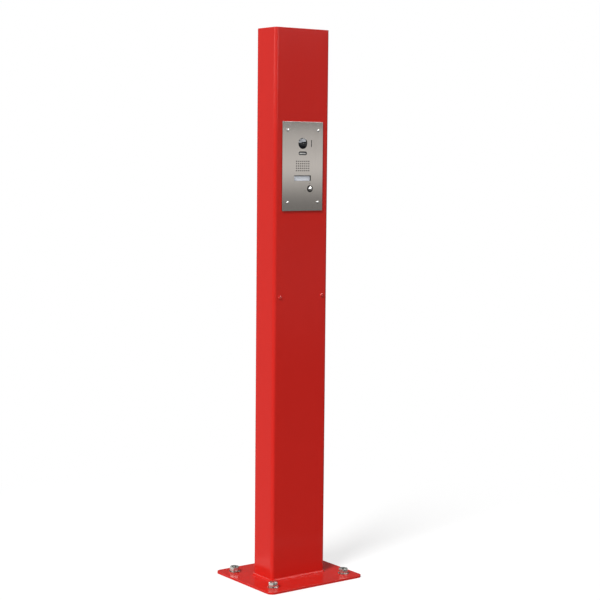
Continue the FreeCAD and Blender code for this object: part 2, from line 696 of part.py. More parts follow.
def anchor_studs():
    stud_top = "(base_thickness + anchor_washer_thickness + anchor_nut_height + stud_proud)"
    radius = "anchor_diameter / 2"
    thread = "anchor_thread / 2"
    neck = "anchor_neck / 2"
    cone_top = "(anchor_cone - anchor_depth)"
    stud = turned_up("anchor_stud", [
        ("0", "-anchor_depth"),
        (radius, "-anchor_depth"),
        (neck, cone_top),
        (neck, f"{cone_top} + sleeve_length"),
        (radius, f"{cone_top} + sleeve_length"),
        (radius, "-anchor_runout"),
        (thread, "-anchor_runout"),
        (thread, f"{stud_top} - stud_chamfer"),
        (f"{thread} - stud_chamfer", stud_top),
        ("0", stud_top),
    ])
    return group("anchor_studs", stud, anchor_places("0"))


def anchor_sleeves():
    sleeve = new_body("anchor_sleeve")
    ring = plan(sleeve, "anchor_cone - anchor_depth")
    add_circle(ring, "sleeve_diameter")
    add_circle(ring, "anchor_neck + 2 * thread_gap")
    pad(ring, "sleeve_length")
    slit = plan(sleeve, "anchor_cone - anchor_depth + sleeve_length", x="anchor_diameter / 2")
    add_outline(slit, [
        ("-anchor_diameter / 2", "-sleeve_slit / 2"),
        ("0", "-sleeve_slit / 2"),
        ("0", "sleeve_slit / 2"),
        ("-anchor_diameter / 2", "sleeve_slit / 2"),
    ])
    pocket(slit, "sleeve_length")
    return group("anchor_sleeves", sleeve, anchor_places("0"))


def anchor_washers():
    washer = new_body("anchor_washer")
    ring = plan(washer)
    add_circle(ring, "anchor_washer_diameter")
    add_circle(ring, "anchor_washer_hole")
    pad(ring, "anchor_washer_thickness")
    return group("anchor_washers", washer, anchor_places("base_thickness"))


def anchor_nuts():
    nut = hex_nut("anchor_nut", "anchor_nut_flats", "anchor_nut_height", "anchor_thread + 2 * thread_gap")
    nuts = group("anchor_nuts", nut, anchor_places("base_thickness + anchor_washer_thickness"))
    # Tightened by hand, so no two nuts stand at the same angle.
    for copy, angle in zip(nuts.Links, (-6, -15, -8, 22)):
        copy.Placement = Placement(copy.Placement.Base, Rotation(Vector(0, 0, 1), angle))
    return nuts


def inner_bracket():
    """A channel folded from sheet, its web against the inside of the tube's front wall."""
    body = new_body("inner_bracket")
    length = "(post_width - 2 * post_wall - 2 * bracket_side_gap)"
    section = side(body, f"-{length} / 2", BRACKET_FRONT, "bracket_height")
    half, inner = "bracket_web / 2", "(bracket_web / 2 - bracket_sheet)"
    add_outline(section, [
        ("0", f"-{half}"),
        ("bracket_flange", f"-{half}"),
        ("bracket_flange", f"-{inner}"),
        ("bracket_sheet", f"-{inner}"),
        ("bracket_sheet", inner),
        ("bracket_flange", inner),
        ("bracket_flange", half),
        ("0", half),
    ])
    channel = pad(section, length)
    doc.recompute()
    bends = [f"Edge{number}" for number, edge in enumerate(channel.Shape.Edges, 1)
             if edge.BoundBox.XLength > 1 and bend_place(edge)]
    fold = body.newObject("PartDesign::Fillet", "bracket_bends")
    fold.Base = (channel, bends)
    bind(fold, "Radius", "bracket_bend")
    holes = front(body, BRACKET_FRONT, "bracket_height")
    for end in (-1, 1):
        add_circle(holes, "bracket_screw_hole", f"{end} * {BRACKET_SPACING} / 2")
    for step in (-1, 0, 1):
        add_slot(holes, "tie_slot_length", "tie_slot_width", f"{step} * tie_slot_pitch")
    pocket(holes, "bracket_sheet")
    return body


def bend_place(edge):
    """True for the long edges at the two folds of the channel, inside and outside."""
    web_back = value(f"bracket_sheet - {BRACKET_FRONT}") + 0.001
    return edge.BoundBox.YMax < web_back and edge.BoundBox.YLength < 0.001


def bracket_screws():
    piece = screw("bracket_screw", "bracket_screw_head", "bracket_screw_head_height", "bracket_screw_diameter",
                  "bracket_screw_length", "bracket_screw_socket")
    places = [(f"{end} * {BRACKET_SPACING} / 2", f"-{TUBE_FRONT}", "bracket_height") for end in (-1, 1)]
    return group("bracket_screws", piece, places, FACING_FRONT)


def bracket_nuts():
    nut = hex_nut("bracket_nut", "bracket_nut_flats", "bracket_nut_height",
                  "bracket_screw_diameter + 2 * thread_gap")
    places = [(f"{end} * {BRACKET_SPACING} / 2", f"bracket_sheet - {BRACKET_FRONT}", "bracket_height")
              for end in (-1, 1)]
    return group("bracket_nuts", nut, places, FACING_BACK)


def box_carrier():
    """A hat section between the tube's back wall and the back box."""
    body = new_body("box_carrier")
    web = "carrier_width / 2"
    web_inside = "(carrier_width / 2 - carrier_sheet)"
    foot = "(carrier_width / 2 + carrier_foot)"
    top, wall = f"(-{BOX_BACK})", TUBE_INSIDE
    section = plan(body, "station_height - carrier_tall / 2")
    add_outline(section, [
        (f"-{foot}", wall),
        (f"-{foot}", f"{wall} - carrier_sheet"),
        (f"-{web}", f"{wall} - carrier_sheet"),
        (f"-{web}", top),
        (web, top),
        (web, f"{wall} - carrier_sheet"),
        (foot, f"{wall} - carrier_sheet"),
        (foot, wall),
        (web_inside, wall),
        (web_inside, f"{top} + carrier_sheet"),
        (f"-{web_inside}", f"{top} + carrier_sheet"),
        (f"-{web_inside}", wall),
    ])
    pad(section, "carrier_tall")
    holes = front(body, BOX_BACK, "station_height")
    for x, z in corners("box_screw_spacing_x", "box_screw_spacing_z"):
        add_circle(holes, "box_screw_hole", x, z)
    pocket(holes, "carrier_sheet")
    return body


def carrier_nuts():
    nut = hex_nut("carrier_nut", "carrier_nut_flats", "carrier_nut_height", "box_screw_diameter + 2 * thread_gap")
    places = station_corners("box_screw_spacing_x", "box_screw_spacing_z", f"{BOX_BACK} - carrier_sheet")
    return group("carrier_nuts", nut, places, FACING_BACK)


def box_screws():
    piece = screw("box_screw", "box_screw_head", "box_screw_head_height", "box_screw_diameter",
                  "box_screw_length", "box_screw_socket")
    places = station_corners("box_screw_spacing_x", "box_screw_spacing_z", f"{BOX_BACK} + box_wall")
    return group("box_screws", piece, places, FACING_FRONT)


def back_box():
    """A folded sheet box, open to the front, with a threaded tab in each front corner."""
    body = new_body("back_box")
    blank = front(body, PLATE_BACK, "station_height")
    add_rectangle(blank, BOX_WIDTH, BOX_TALL, "box_corner")
    pad(blank, "box_depth", backwards=True)
    inside = front(body, PLATE_BACK, "station_height")
    inside_width, inside_tall = f"({BOX_WIDTH} - 2 * box_wall)", f"({BOX_TALL} - 2 * box_wall)"
    add_rectangle(inside, inside_width, inside_tall, "(box_corner - box_wall)")
    pocket(inside, "box_depth - box_wall")
    tabs = front(body, PLATE_BACK, "station_height")
    for x, z in corners(f"({inside_width} - box_tab + box_wall)", f"({inside_tall} - box_tab + box_wall)"):
        add_rectangle(tabs, "box_tab", "box_tab", "box_wall / 2", x, z)
    pad(tabs, "box_wall", backwards=True)
    threads = front(body, PLATE_BACK, "station_height")
    for x, z in corners("plate_screw_spacing_x", "plate_screw_spacing_z"):
        add_circle(threads, "plate_screw_diameter + 2 * thread_gap", x, z)
    pocket(threads, "box_wall")
    holes = front(body, f"{BOX_BACK} + box_wall", "station_height")
    for x, z in corners("box_screw_spacing_x", "box_screw_spacing_z"):
        add_circle(holes, "box_screw_hole", x, z)
    pocket(holes, "box_wall")
    inlet = plan(body, f"station_height - {BOX_TALL} / 2 + box_wall", y="-grommet_depth")
    add_circle(inlet, "grommet_hole")
    pocket(inlet, "box_wall")
    return body


def cable_grommet():
    """A closed rubber grommet in the cable hole at the bottom of the back box."""
    throat = "(grommet_hole / 2 - thread_gap)"
    inside = "(grommet_hole / 2 - grommet_flange)"
    flange = "(grommet_hole / 2 + grommet_flange)"
    return turned_up("cable_grommet", [
        ("0", "0"),
        (inside, "0"),
        (inside, "-grommet_rim"),
        (flange, "-grommet_rim"),
        (flange, "0"),
        (throat, "0"),
        (throat, "box_wall"),
        (flange, "box_wall"),
        (flange, "box_wall + grommet_rim"),
        (inside, "box_wall + grommet_rim"),
        (inside, "grommet_membrane"),
        ("0", "grommet_membrane"),
    ], y="-grommet_depth", z=f"station_height - {BOX_TALL} / 2")


def plate_gasket():
    body = new_body("plate_gasket")
    ring = front(body, TUBE_FRONT, "station_height")
    add_rectangle(ring, "(plate_width - 2 * gasket_inset)", "(plate_height - 2 * gasket_inset)", "cutout_corner")
    add_rectangle(ring, "cutout_width", "cutout_height", "cutout_corner")
    pad(ring, "gasket_thickness")
    return body


def face_plate():
    """The stainless plate, with every opening cut through it in one pass."""
    body = new_body("face_plate")
    blank = front(body, PLATE_BACK, "station_height")
    add_rectangle(blank, "plate_width", "plate_height", "plate_corner")
    round_rim(pad(blank, "plate_thickness"), "plate_edge", facing=Vector(0, -1, 0))
    cuts = front(body, PLATE_FRONT, "station_height")
    for x, z in corners("plate_screw_spacing_x", "plate_screw_spacing_z"):
        add_circle(cuts, "plate_screw_hole", x, z)
    add_circle(cuts, "camera_hole", "0", "camera_rise")
    add_slot(cuts, "slit_length", "slit_width", "slit_offset", "camera_rise", upright=True)
    add_slot(cuts, "lamp_width", "lamp_tall", "0", "lamp_rise")
    add_rectangle(cuts, "name_width", "name_tall", "name_corner", "0", "-name_drop")
    add_circle(cuts, "button_hole", "button_offset", "-button_drop")
    add_circle(cuts, "mic_hole", "mic_offset", "-mic_drop")
    add_circle(cuts, "status_hole", "status_offset", "-status_drop")
    pocket(cuts, "plate_thickness")
    grille = front(body, PLATE_FRONT, GRILLE_Z)
    for column in range(int(value("grille_columns"))):
        for row in range(int(value("grille_rows"))):
            add_circle(grille, "grille_hole", f"({column} - (grille_columns - 1) / 2) * grille_pitch_x",
                       f"({row} - (grille_rows - 1) / 2) * grille_pitch_z")
    pocket(grille, "plate_thickness")
    return body


def plate_screws():
    piece = screw("plate_screw", "plate_screw_head", "plate_screw_head_height", "plate_screw_diameter",
                  "plate_screw_length", "plate_screw_socket")
    places = station_corners("plate_screw_spacing_x", "plate_screw_spacing_z", PLATE_FRONT)
    return group("plate_screws", piece, places, FACING_FRONT)


def plate_standoffs():
    length = f"({PLATE_BACK} - {MODULE_FLOOR})"
    bore = "housing_screw_diameter / 2 + thread_gap"
    piece = turned_up("plate_standoff", [
        (bore, "0"),
        ("standoff_diameter / 2", "0"),
        ("standoff_diameter / 2", length),
        ("0", length),
        ("0", "standoff_bore_depth"),
        (bore, "standoff_bore_depth"),
    ])
    places = station_corners("standoff_spacing_x", "standoff_spacing_z", MODULE_FLOOR)
    return group("plate_standoffs", piece, places, FACING_FRONT)


def module_housing():
    """The moulded casing of the electronics, open towards the plate."""
    body = new_body("module_housing")
    blank = front(body, PLATE_BACK, "station_height")
    add_rectangle(blank, "module_width", "module_tall", "module_corner")
    pad(blank, "module_depth", backwards=True)
    inside = front(body, PLATE_BACK, "station_height")
    add_rectangle(inside, "(module_width - 2 * module_wall)", "(module_tall - 2 * module_wall)",
                  "(module_corner - module_wall)")
    pocket(inside, "module_depth - module_wall")
    holes = front(body, MODULE_FLOOR, "station_height")
    hole = "housing_screw_diameter + 4 * thread_gap"
    for x, z in corners("standoff_spacing_x", "standoff_spacing_z"):
        add_circle(holes, hole, x, z)
    for end in (-1, 1):
        add_circle(holes, hole, f"{end} * cradle_screw_spacing / 2", "camera_rise")
    pocket(holes, "module_wall")
    return body


def housing_screw():
    return screw("housing_screw", "housing_screw_head", "housing_screw_head_height", "housing_screw_diameter",
                 "housing_screw_length", "housing_screw_socket")


def cradle_screw():
    return screw("cradle_screw", "housing_screw_head", "housing_screw_head_height", "housing_screw_diameter",
                 "module_wall + cradle_base", "housing_screw_socket")


def terminal_block():
    body = new_body("terminal_block")
    middle = "(station_height - terminal_drop)"
    blank = front(body, MODULE_BACK, middle)
    add_rectangle(blank, "terminal_width", "terminal_tall", "block_corner")
    pad(blank, "terminal_depth", backwards=True)
    bores = front(body, f"{MODULE_BACK} - terminal_depth", middle)
    entries = plan(body, f"{middle} - terminal_tall / 2", y=f"terminal_depth / 2 - {MODULE_BACK}")
    for x in terminal_places():
        add_circle(bores, "terminal_screw_diameter + 2 * thread_gap", x)
        add_rectangle(entries, "wire_entry", "wire_entry", "block_corner", x)
    pocket(bores, "terminal_bore_depth", backwards=True)
    pocket(entries, "wire_entry_depth", backwards=True)
    return body


def terminal_places():
    return [f"({number} - 1.5) * terminal_pitch" for number in range(4)]


def terminal_screws():
    piece = turned_up("terminal_screw", [
        ("0", "0"),
        ("terminal_screw_diameter / 2", "0"),
        ("terminal_screw_diameter / 2", "terminal_screw_length"),
        ("0", "terminal_screw_length"),
    ])
    slot = plan(piece, "terminal_screw_length")
    add_rectangle(slot, "terminal_screw_diameter + 2 * thread_gap", "terminal_slot", "pin_corner")
    pocket(slot, "terminal_slot_depth")
    depth = f"({MODULE_BACK} - terminal_depth + terminal_bore_depth)"
    places = [(x, f"-{depth}", "station_height - terminal_drop") for x in terminal_places()]
    return group("terminal_screws", piece, places, FACING_BACK)


def circuit_board():
    body = new_body("circuit_board")
    middle = "station_height - board_drop"
    blank = front(body, BOARD_BACK, middle)
    add_rectangle(blank, "board_width", "board_tall", "board_thickness")
    pad(blank, "board_thickness")
    holes = front(body, BOARD_FRONT, middle)
    for x, z in corners("board_screw_spacing_x", "board_screw_spacing_z"):
        add_circle(holes, "board_screw_diameter + 2 * thread_gap", x, z)
    pocket(holes, "board_thickness")
    return body


def board_spacers():
    bore = "board_screw_diameter / 2 + thread_gap"
    piece = turned_up("board_spacer", [
        (bore, "0"),
        ("board_spacer_diameter / 2", "0"),
        ("board_spacer_diameter / 2", "board_rise"),
        (bore, "board_rise"),
    ])
    places = station_corners("board_screw_spacing_x", "board_screw_spacing_z", MODULE_FLOOR,
                             "station_height - board_drop")
    return group("board_spacers", piece, places, FACING_FRONT)


def board_screws():
    piece = screw("board_screw", "board_screw_head", "board_screw_head_height", "board_screw_diameter",
                  "board_screw_length", "board_screw_socket")
    places = station_corners("board_screw_spacing_x", "board_screw_spacing_z", BOARD_FRONT,
                             "station_height - board_drop")
    return group("board_screws", piece, places, FACING_FRONT)


def processor():
    body = new_body("processor")
    outline = front(body, BOARD_FRONT, "station_height - board_drop - board_tall / 2 + chip_from_edge",
                    "-board_width / 2 + chip_from_edge")
    add_rectangle(outline, "chip_side", "chip_side", "block_corner")
    pad(outline, "chip_thickness")
    return body


def capacitors():
    piece = turned_up("capacitor", [
        ("0", "0"),
        ("capacitor_diameter / 2", "0"),
        ("capacitor_diameter / 2", "capacitor_tall - capacitor_edge"),
        ("capacitor_diameter / 2 - capacitor_edge", "capacitor_tall"),
        ("0", "capacitor_tall"),
    ])
    height = "station_height - board_drop - board_tall / 2 + capacitor_from_below"
    places = [(f"-board_width / 2 + capacitor_from_side + {number} * capacitor_pitch", f"-{BOARD_FRONT}", height)
              for number in range(3)]
    return group("capacitors", piece, places, FACING_FRONT)


def camera_cradle():
    """A bracket with two arms whose eyes carry the camera ball's trunnions."""
    body = new_body("camera_cradle")
    base = front(body, MODULE_FLOOR, CAMERA_Z)
    add_rectangle(base, "cradle_base_width", "cradle_base_tall", "cradle_base")
    pad(base, "cradle_base")
    reach = f"({CAMERA_DEPTH} - {MODULE_FLOOR})"
    arms = side(body, f"-{ARM_OUTSIDE}", CAMERA_DEPTH, CAMERA_Z)
    add_outline(arms, [
        ("0", "-cradle_eye / 2"),
        (reach, "-cradle_eye / 2"),
        (reach, "cradle_eye / 2"),
        ("0", "cradle_eye / 2"),
    ])
    pad(arms, f"2 * {ARM_OUTSIDE}")
    eyes = side(body, f"-{ARM_OUTSIDE}", CAMERA_DEPTH, CAMERA_Z)
    add_circle(eyes, "cradle_eye")
    pad(eyes, f"2 * {ARM_OUTSIDE}")
    room = front(body, f"{CAMERA_DEPTH} + cradle_eye", CAMERA_Z)
    add_rectangle(room, "cradle_inside", "2 * cradle_eye", "cradle_base")
    pocket(room, f"{reach} - cradle_base + cradle_eye")
    bore = side(body, ARM_OUTSIDE, CAMERA_DEPTH, CAMERA_Z)
    add_circle(bore, "trunnion_diameter + 2 * trunnion_gap")
    pocket(bore, f"2 * {ARM_OUTSIDE}")
    threads = front(body, f"{MODULE_FLOOR} + cradle_base", CAMERA_Z)
    for end in (-1, 1):
        add_circle(threads, "housing_screw_diameter + 2 * thread_gap", f"{end} * cradle_screw_spacing / 2")
    pocket(threads, "cradle_base")
    return body


def camera_ball():
    """The ball with its two trunnions, the right one long enough for the lever, and the lens bore."""
    body = new_body("camera_ball")
    sketch = sketch_on(body, "XY_Plane", "0", f"-{CAMERA_DEPTH}", CAMERA_Z, turn=-90)
    trunnion = "trunnion_diameter / 2"
    shoulder = "sqrt(ball_radius ^ 2 - (trunnion_diameter / 2) ^ 2)"
    far_end = "slit_offset + lever_thickness / 2"
    add_outline(sketch, [
        ("0", "-trunnion_reach"),
        (trunnion, "-trunnion_reach"),
        (trunnion, f"-{shoulder}"),
        (trunnion, shoulder),
        (trunnion, far_end),
        ("0", far_end),
    ], domes=(2,))
    revolve(sketch)
    bore = front(body, f"{CAMERA_DEPTH} + ball_radius", CAMERA_Z)
    add_circle(bore, "lens_barrel_diameter")
    pocket(bore, "lens_barrel_depth")
    return body


def lens_barrel():
    back = f"({CAMERA_DEPTH} + ball_radius - lens_barrel_depth)"
    tip = f"({CAMERA_DEPTH} + ball_radius - barrel_recess)"
    seat = f"({back} + lens_seat)"
    outside = "(lens_barrel_diameter / 2 - lens_gap)"
    inside = "(lens_diameter / 2)"
    return turned_front("lens_barrel", [
        ("0", back),
        (outside, back),
        (outside, tip),
        (f"{inside} + barrel_funnel", tip),
        (inside, f"{seat} + barrel_shoulder"),
        (inside, seat),
        ("0", seat),
    ], z=CAMERA_Z)


def camera_lens():
    seat = f"({CAMERA_DEPTH} + ball_radius - lens_barrel_depth + lens_seat)"
    edge = "(lens_diameter / 2 - lens_gap)"
    return turned_front("camera_lens", [
        ("0", seat),
        (edge, seat),
        (edge, f"{seat} + lens_rim"),
        ("0", f"{seat} + lens_rim + lens_rise"),
    ], domes=(2,), z=CAMERA_Z)


def tilt_lever():
    """A boss on the long trunnion with an arm that ends in the plate's slit."""
    body = new_body("tilt_lever")
    boss = side(body, "slit_offset + lever_thickness / 2 - lever_boss_width", CAMERA_DEPTH, CAMERA_Z)
    add_circle(boss, "lever_boss")
    pad(boss, "lever_boss_width")
    arm = side(body, "slit_offset - lever_thickness / 2", CAMERA_DEPTH, CAMERA_Z)
    tip = f"(-({PLATE_FRONT} - lever_recess - {CAMERA_DEPTH}))"
    add_outline(arm, [
        (tip, "-lever_width / 2"),
        ("-trunnion_diameter / 2", "-lever_width / 2"),
        ("-trunnion_diameter / 2", "lever_width / 2"),
        (tip, "lever_width / 2"),
    ])
    pad(arm, "lever_thickness")
    bore = side(body, "slit_offset + lever_thickness / 2", CAMERA_DEPTH, CAMERA_Z)
    add_circle(bore, "trunnion_diameter")
    pocket(bore, "lever_boss_width")
    return body


def camera_dome():
    """The clear window over the camera: a shallow dome with a flange behind the plate."""
    outside = "(camera_hole / 2 - dome_gap)"
    inside = "(camera_hole / 2 - dome_gap - dome_wall)"
    crown = f"({PLATE_FRONT} + dome_rise)"
    return turned_front("camera_dome", [
        ("0", crown),
        (outside, PLATE_FRONT),
        (outside, PLATE_BACK),
        (f"{outside} + dome_flange", PLATE_BACK),
        (f"{outside} + dome_flange", f"{PLATE_BACK} - dome_wall"),
        (inside, f"{PLATE_BACK} - dome_wall"),
        (inside, f"{PLATE_FRONT} - dome_wall"),
        ("0", f"{crown} - dome_wall"),
    ], domes=(0, 6), z=CAMERA_Z)


def led_window():
    body = new_body("led_window")
    face = front(body, PLATE_BACK, LAMP_Z)
    add_slot(face, "(lamp_width - 2 * lamp_gap)", "(lamp_tall - 2 * lamp_gap)")
    pad(face, "plate_thickness - lamp_recess")
    flange = front(body, PLATE_BACK, LAMP_Z)
    add_slot(flange, "(lamp_width + 2 * lamp_flange)", "(lamp_tall + 2 * lamp_flange)")
    pad(flange, "lamp_flange_thickness", backwards=True)
    return body


def leds():
    piece = turned_up("light_diode", [
        ("0", "0"),
        ("lamp_diode_diameter / 2", "0"),
        ("lamp_diode_diameter / 2", "lamp_diode_tall / 2"),
        ("0", "lamp_diode_tall"),
    ], domes=(2,))
    places = [(f"{number} * lamp_diode_pitch", f"-{LAMP_BOARD_FRONT}", LAMP_Z) for number in (-2, -1, 0, 1, 2)]
    return group("leds", piece, places, FACING_FRONT)


def led_board():
    body = new_body("led_board")
    outline = front(body, LAMP_BOARD_FRONT, LAMP_Z)
    add_rectangle(outline, "lamp_board_width", "lamp_board_tall", "lamp_board_thickness")
    pad(outline, "lamp_board_thickness", backwards=True)
    return body


def led_header():
    body = new_body("led_header")
    outline = front(body, BOARD_FRONT, LAMP_Z)
    add_rectangle(outline, "header_width", "header_tall", "pin_corner")
    pad(outline, f"{LAMP_BOARD_FRONT} - lamp_board_thickness - {BOARD_FRONT}")
    return body


def speaker_mesh():
    """The cloth behind the whole grille, as tall as the loudspeaker that holds it against the plate."""
    body = new_body("speaker_mesh")
    sheet_outline = front(body, PLATE_BACK, GRILLE_Z)
    add_rectangle(sheet_outline, "((grille_columns - 1) * grille_pitch_x + grille_hole + 2 * speaker_mesh_margin)",
                  "2 * speaker_radius", "speaker_mesh_corner")
    pad(sheet_outline, "speaker_mesh_thickness", backwards=True)
    return body


def speaker_frame():
    """The pressed basket of the loudspeaker."""
    lip = "(speaker_radius - speaker_rim)"
    back_inside = "(speaker_basket_radius - speaker_sheet)"
    rim_back = f"({SPEAKER_FRONT} - speaker_rim_thickness)"
    return turned_front("speaker_frame", [
        (lip, SPEAKER_FRONT),
        ("speaker_radius", SPEAKER_FRONT),
        ("speaker_radius", rim_back),
        (f"{lip} + speaker_sheet", rim_back),
        ("speaker_basket_radius", f"{SPEAKER_BACK} + 2 * speaker_sheet"),
        ("speaker_basket_radius", SPEAKER_BACK),
        ("speaker_pole_hole", SPEAKER_BACK),
        ("speaker_pole_hole", f"{SPEAKER_BACK} + speaker_sheet"),
        (back_inside, f"{SPEAKER_BACK} + speaker_sheet"),
        (back_inside, f"{SPEAKER_BACK} + 2 * speaker_sheet"),
        (lip, rim_back),
    ], z=GRILLE_Z)


def speaker_cone():
    """The paper cone with its dust cap, its edge just inside the basket's rim."""
    edge = "(speaker_radius - speaker_rim - speaker_gap)"
    neck_front = f"({SPEAKER_FRONT} - cone_depth)"
    return turned_front("speaker_cone", [
        (edge, SPEAKER_FRONT),
        (edge, f"{SPEAKER_FRONT} - 2 * cone_thickness"),
        ("cone_neck", f"{neck_front} - cone_thickness"),
        ("0", f"{neck_front} + cone_thickness"),
        ("0", f"{neck_front} + 2 * cone_thickness"),
        ("cone_neck", neck_front),
        (f"{edge} - 2 * cone_thickness", SPEAKER_FRONT),
    ], domes=(2, 4), z=GRILLE_Z)


def speaker_magnet():
    pole = "(speaker_pole_hole - speaker_gap)"
    return turned_front("speaker_magnet", [
        ("0", f"{SPEAKER_BACK} - magnet_thickness"),
        ("magnet_radius", f"{SPEAKER_BACK} - magnet_thickness"),
        ("magnet_radius", SPEAKER_BACK),
        (pole, SPEAKER_BACK),
        (pole, f"{SPEAKER_BACK} + pole_length"),
        ("0", f"{SPEAKER_BACK} + pole_length"),
    ], z=GRILLE_Z)


def name_window():
    """The pane that lies on the card, at the bottom of the holder's well."""
    body = new_body("name_window")
    outline = front(body, NAME_FRONT, NAME_Z)
    add_rectangle(outline, "(name_width - 2 * name_gap)", "(name_tall - 2 * name_gap)", "(name_corner - name_gap)")
    pad(outline, "name_pane", backwards=True)
    return body


def name_holder():
    """The tray against the back of the plate, its well as wide as the plate's opening."""
    body = new_body("name_holder")
    blank = front(body, PLATE_BACK, NAME_Z)
    add_rectangle(blank, "(name_width + 2 * holder_wall)", "(name_tall + 2 * holder_wall)", "name_corner")
    pad(blank, "holder_depth", backwards=True)
    well = front(body, PLATE_BACK, NAME_Z)
    add_rectangle(well, "name_width", "name_tall", "name_corner")
    pocket(well, "name_well + name_pane + card_thickness")
    return body


def name_card():
    body = new_body("name_card")
    outline = front(body, f"{NAME_FRONT} - name_pane", NAME_Z)
    add_rectangle(outline, "(name_width - 2 * card_gap)", "(name_tall - 2 * card_gap)", "(name_corner - card_gap)")
    pad(outline, "card_thickness", backwards=True)
    return body


def button_bezel():
    """The ring around the call button, with a threaded barrel through the plate and a web behind."""
    barrel = "(button_hole / 2 - bezel_gap)"
    stem_hole = "(stem_radius + stem_gap)"
    return turned_front("button_bezel", [
        ("bezel_bore", f"{PLATE_FRONT} + bezel_rise"),
        ("bezel_radius - bezel_bevel", f"{PLATE_FRONT} + bezel_rise"),
        ("bezel_radius", f"{PLATE_FRONT} + bezel_rise - bezel_bevel"),
        ("bezel_radius", PLATE_FRONT),
        (barrel, PLATE_FRONT),
        (barrel, BEZEL_BACK),
        (stem_hole, BEZEL_BACK),
        (stem_hole, f"{BEZEL_BACK} + bezel_web"),
        ("bezel_bore", f"{BEZEL_BACK} + bezel_web"),
    ], x="button_offset", z=BUTTON_Z)


def button_nut():
    nut = hex_nut("bezel_nut", "bezel_nut_flats", "bezel_nut_height", "button_hole - 2 * bezel_gap + 2 * thread_gap",
                  beveled=False)
    places = [("button_offset", f"bezel_nut_height - {PLATE_BACK}", BUTTON_Z)]
    turn = FACING_FRONT.multiply(Rotation(Vector(0, 0, 1), 30))
    return group("button_nut", nut, places, turn)


def call_button():
    """The domed push button with a spring pocket behind its crown and a stem through the web."""
    radius = "(bezel_bore - button_gap)"
    skirt_end = f"({BUTTON_SHOULDER} - button_length)"
    body = turned_front("call_button", [
        ("0", f"{BUTTON_SHOULDER} + button_crown"),
        (radius, BUTTON_SHOULDER),
        (radius, skirt_end),
        (f"{radius} - button_skirt", skirt_end),
        (f"{radius} - button_skirt", BUTTON_POCKET),
        ("stem_radius", BUTTON_POCKET),
        ("stem_radius", STEM_END),
        ("0", STEM_END),
    ], domes=(0,), x="button_offset", z=BUTTON_Z)
    return body


def button_clip():
    """The open clip on the stem that keeps the button in its bezel."""
    body = new_body("button_clip")
    ring = front(body, CLIP_FRONT, BUTTON_Z, "button_offset")
    add_circle(ring, "2 * clip_radius")
    add_circle(ring, "2 * stem_radius")
    pad(ring, "clip_thickness", backwards=True)
    mouth = front(body, CLIP_FRONT, f"{BUTTON_Z} - clip_radius", "button_offset")
    add_outline(mouth, [
        ("-clip_mouth / 2", "0"),
        ("clip_mouth / 2", "0"),
        ("clip_mouth / 2", "clip_radius"),
        ("-clip_mouth / 2", "clip_radius"),
    ])
    pocket(mouth, "clip_thickness")
    return body


def button_spring():
    """A coil spring between the web and the button, wound about the stem."""
    start = f"({BEZEL_BACK} + bezel_web + spring_seat + spring_wire / 2)"
    length = value(f"{BUTTON_POCKET} - spring_seat - spring_wire / 2 - {start}")
    radius, wire = value("spring_radius"), value("spring_wire")
    coil = Part.makeHelix(length / value("spring_turns"), length, radius)
    ring = [Vector(radius + wire / 2 * math.cos(turn), 0, wire / 2 * math.sin(turn))
            for turn in (number * math.pi / 4 for number in range(9))]
    profile = Part.makePolygon(ring)
    node = doc.addObject("Part::Feature", "button_spring")
    node.Shape = Part.Wire(coil.Edges).makePipeShell([profile], True, True)
    node.Placement = Placement(Vector(value("button_offset"), -value(start), value(BUTTON_Z)), FACING_FRONT)
    return node


def button_switch():
    body = new_body("button_switch")
    case = front(body, BOARD_FRONT, BUTTON_Z, "button_offset")
    add_rectangle(case, "switch_side", "switch_side", "block_corner")
    pad(case, "switch_body")
    plunger = front(body, f"{BOARD_FRONT} + switch_body", BUTTON_Z, "button_offset")
    add_circle(plunger, "2 * switch_plunger_radius")
    pad(plunger, f"{STEM_END} - button_travel - switch_gap - {BOARD_FRONT} - switch_body")
    return body


def mic_boot():
    """The rubber cup that seals the microphone to its hole in the plate."""
    cup_back = f"({PLATE_BACK} - mic_boot_depth)"
    wall = "(mic_radius + mic_gap)"
    return turned_front("mic_boot", [
        ("mic_hole / 2", PLATE_BACK),
        ("mic_boot_radius", PLATE_BACK),
        ("mic_boot_radius", cup_back),
        (wall, cup_back),
        (wall, f"{PLATE_BACK} - mic_boot_face"),
        ("mic_hole / 2", f"{PLATE_BACK} - mic_boot_face"),
    ], x="mic_offset", z=MIC_Z)


def microphone():
    face = f"({PLATE_BACK} - mic_boot_face - mic_gap)"
    return turned_front("microphone", [
        ("0", face),
        ("mic_radius", face),
        ("mic_radius", f"{face} - mic_length"),
        ("0", f"{face} - mic_length"),
    ], x="mic_offset", z=MIC_Z)


def status_light():
    """The light pipe from the status diode to its small hole in the plate."""
    pipe = "(status_hole / 2 - status_gap)"
    diode_top = f"({BOARD_FRONT} + status_led_tall)"
    return turned_front("status_light", [
        ("0", diode_top),
        (pipe, diode_top),
        (pipe, f"{PLATE_BACK} - status_flange"),
        ("status_flange_radius", f"{PLATE_BACK} - status_flange"),
        ("status_flange_radius", PLATE_BACK),
        (pipe, PLATE_BACK),
        (pipe, f"{PLATE_FRONT} - status_recess"),
        ("0", f"{PLATE_FRONT} - status_recess"),
    ], x="status_offset", z=STATUS_Z)


def status_led():
    body = new_body("status_led")
    outline = front(body, BOARD_FRONT, STATUS_Z, "status_offset")
    add_rectangle(outline, "status_led_side", "status_led_side", "pin_corner")
    pad(outline, "status_led_tall")
    return body


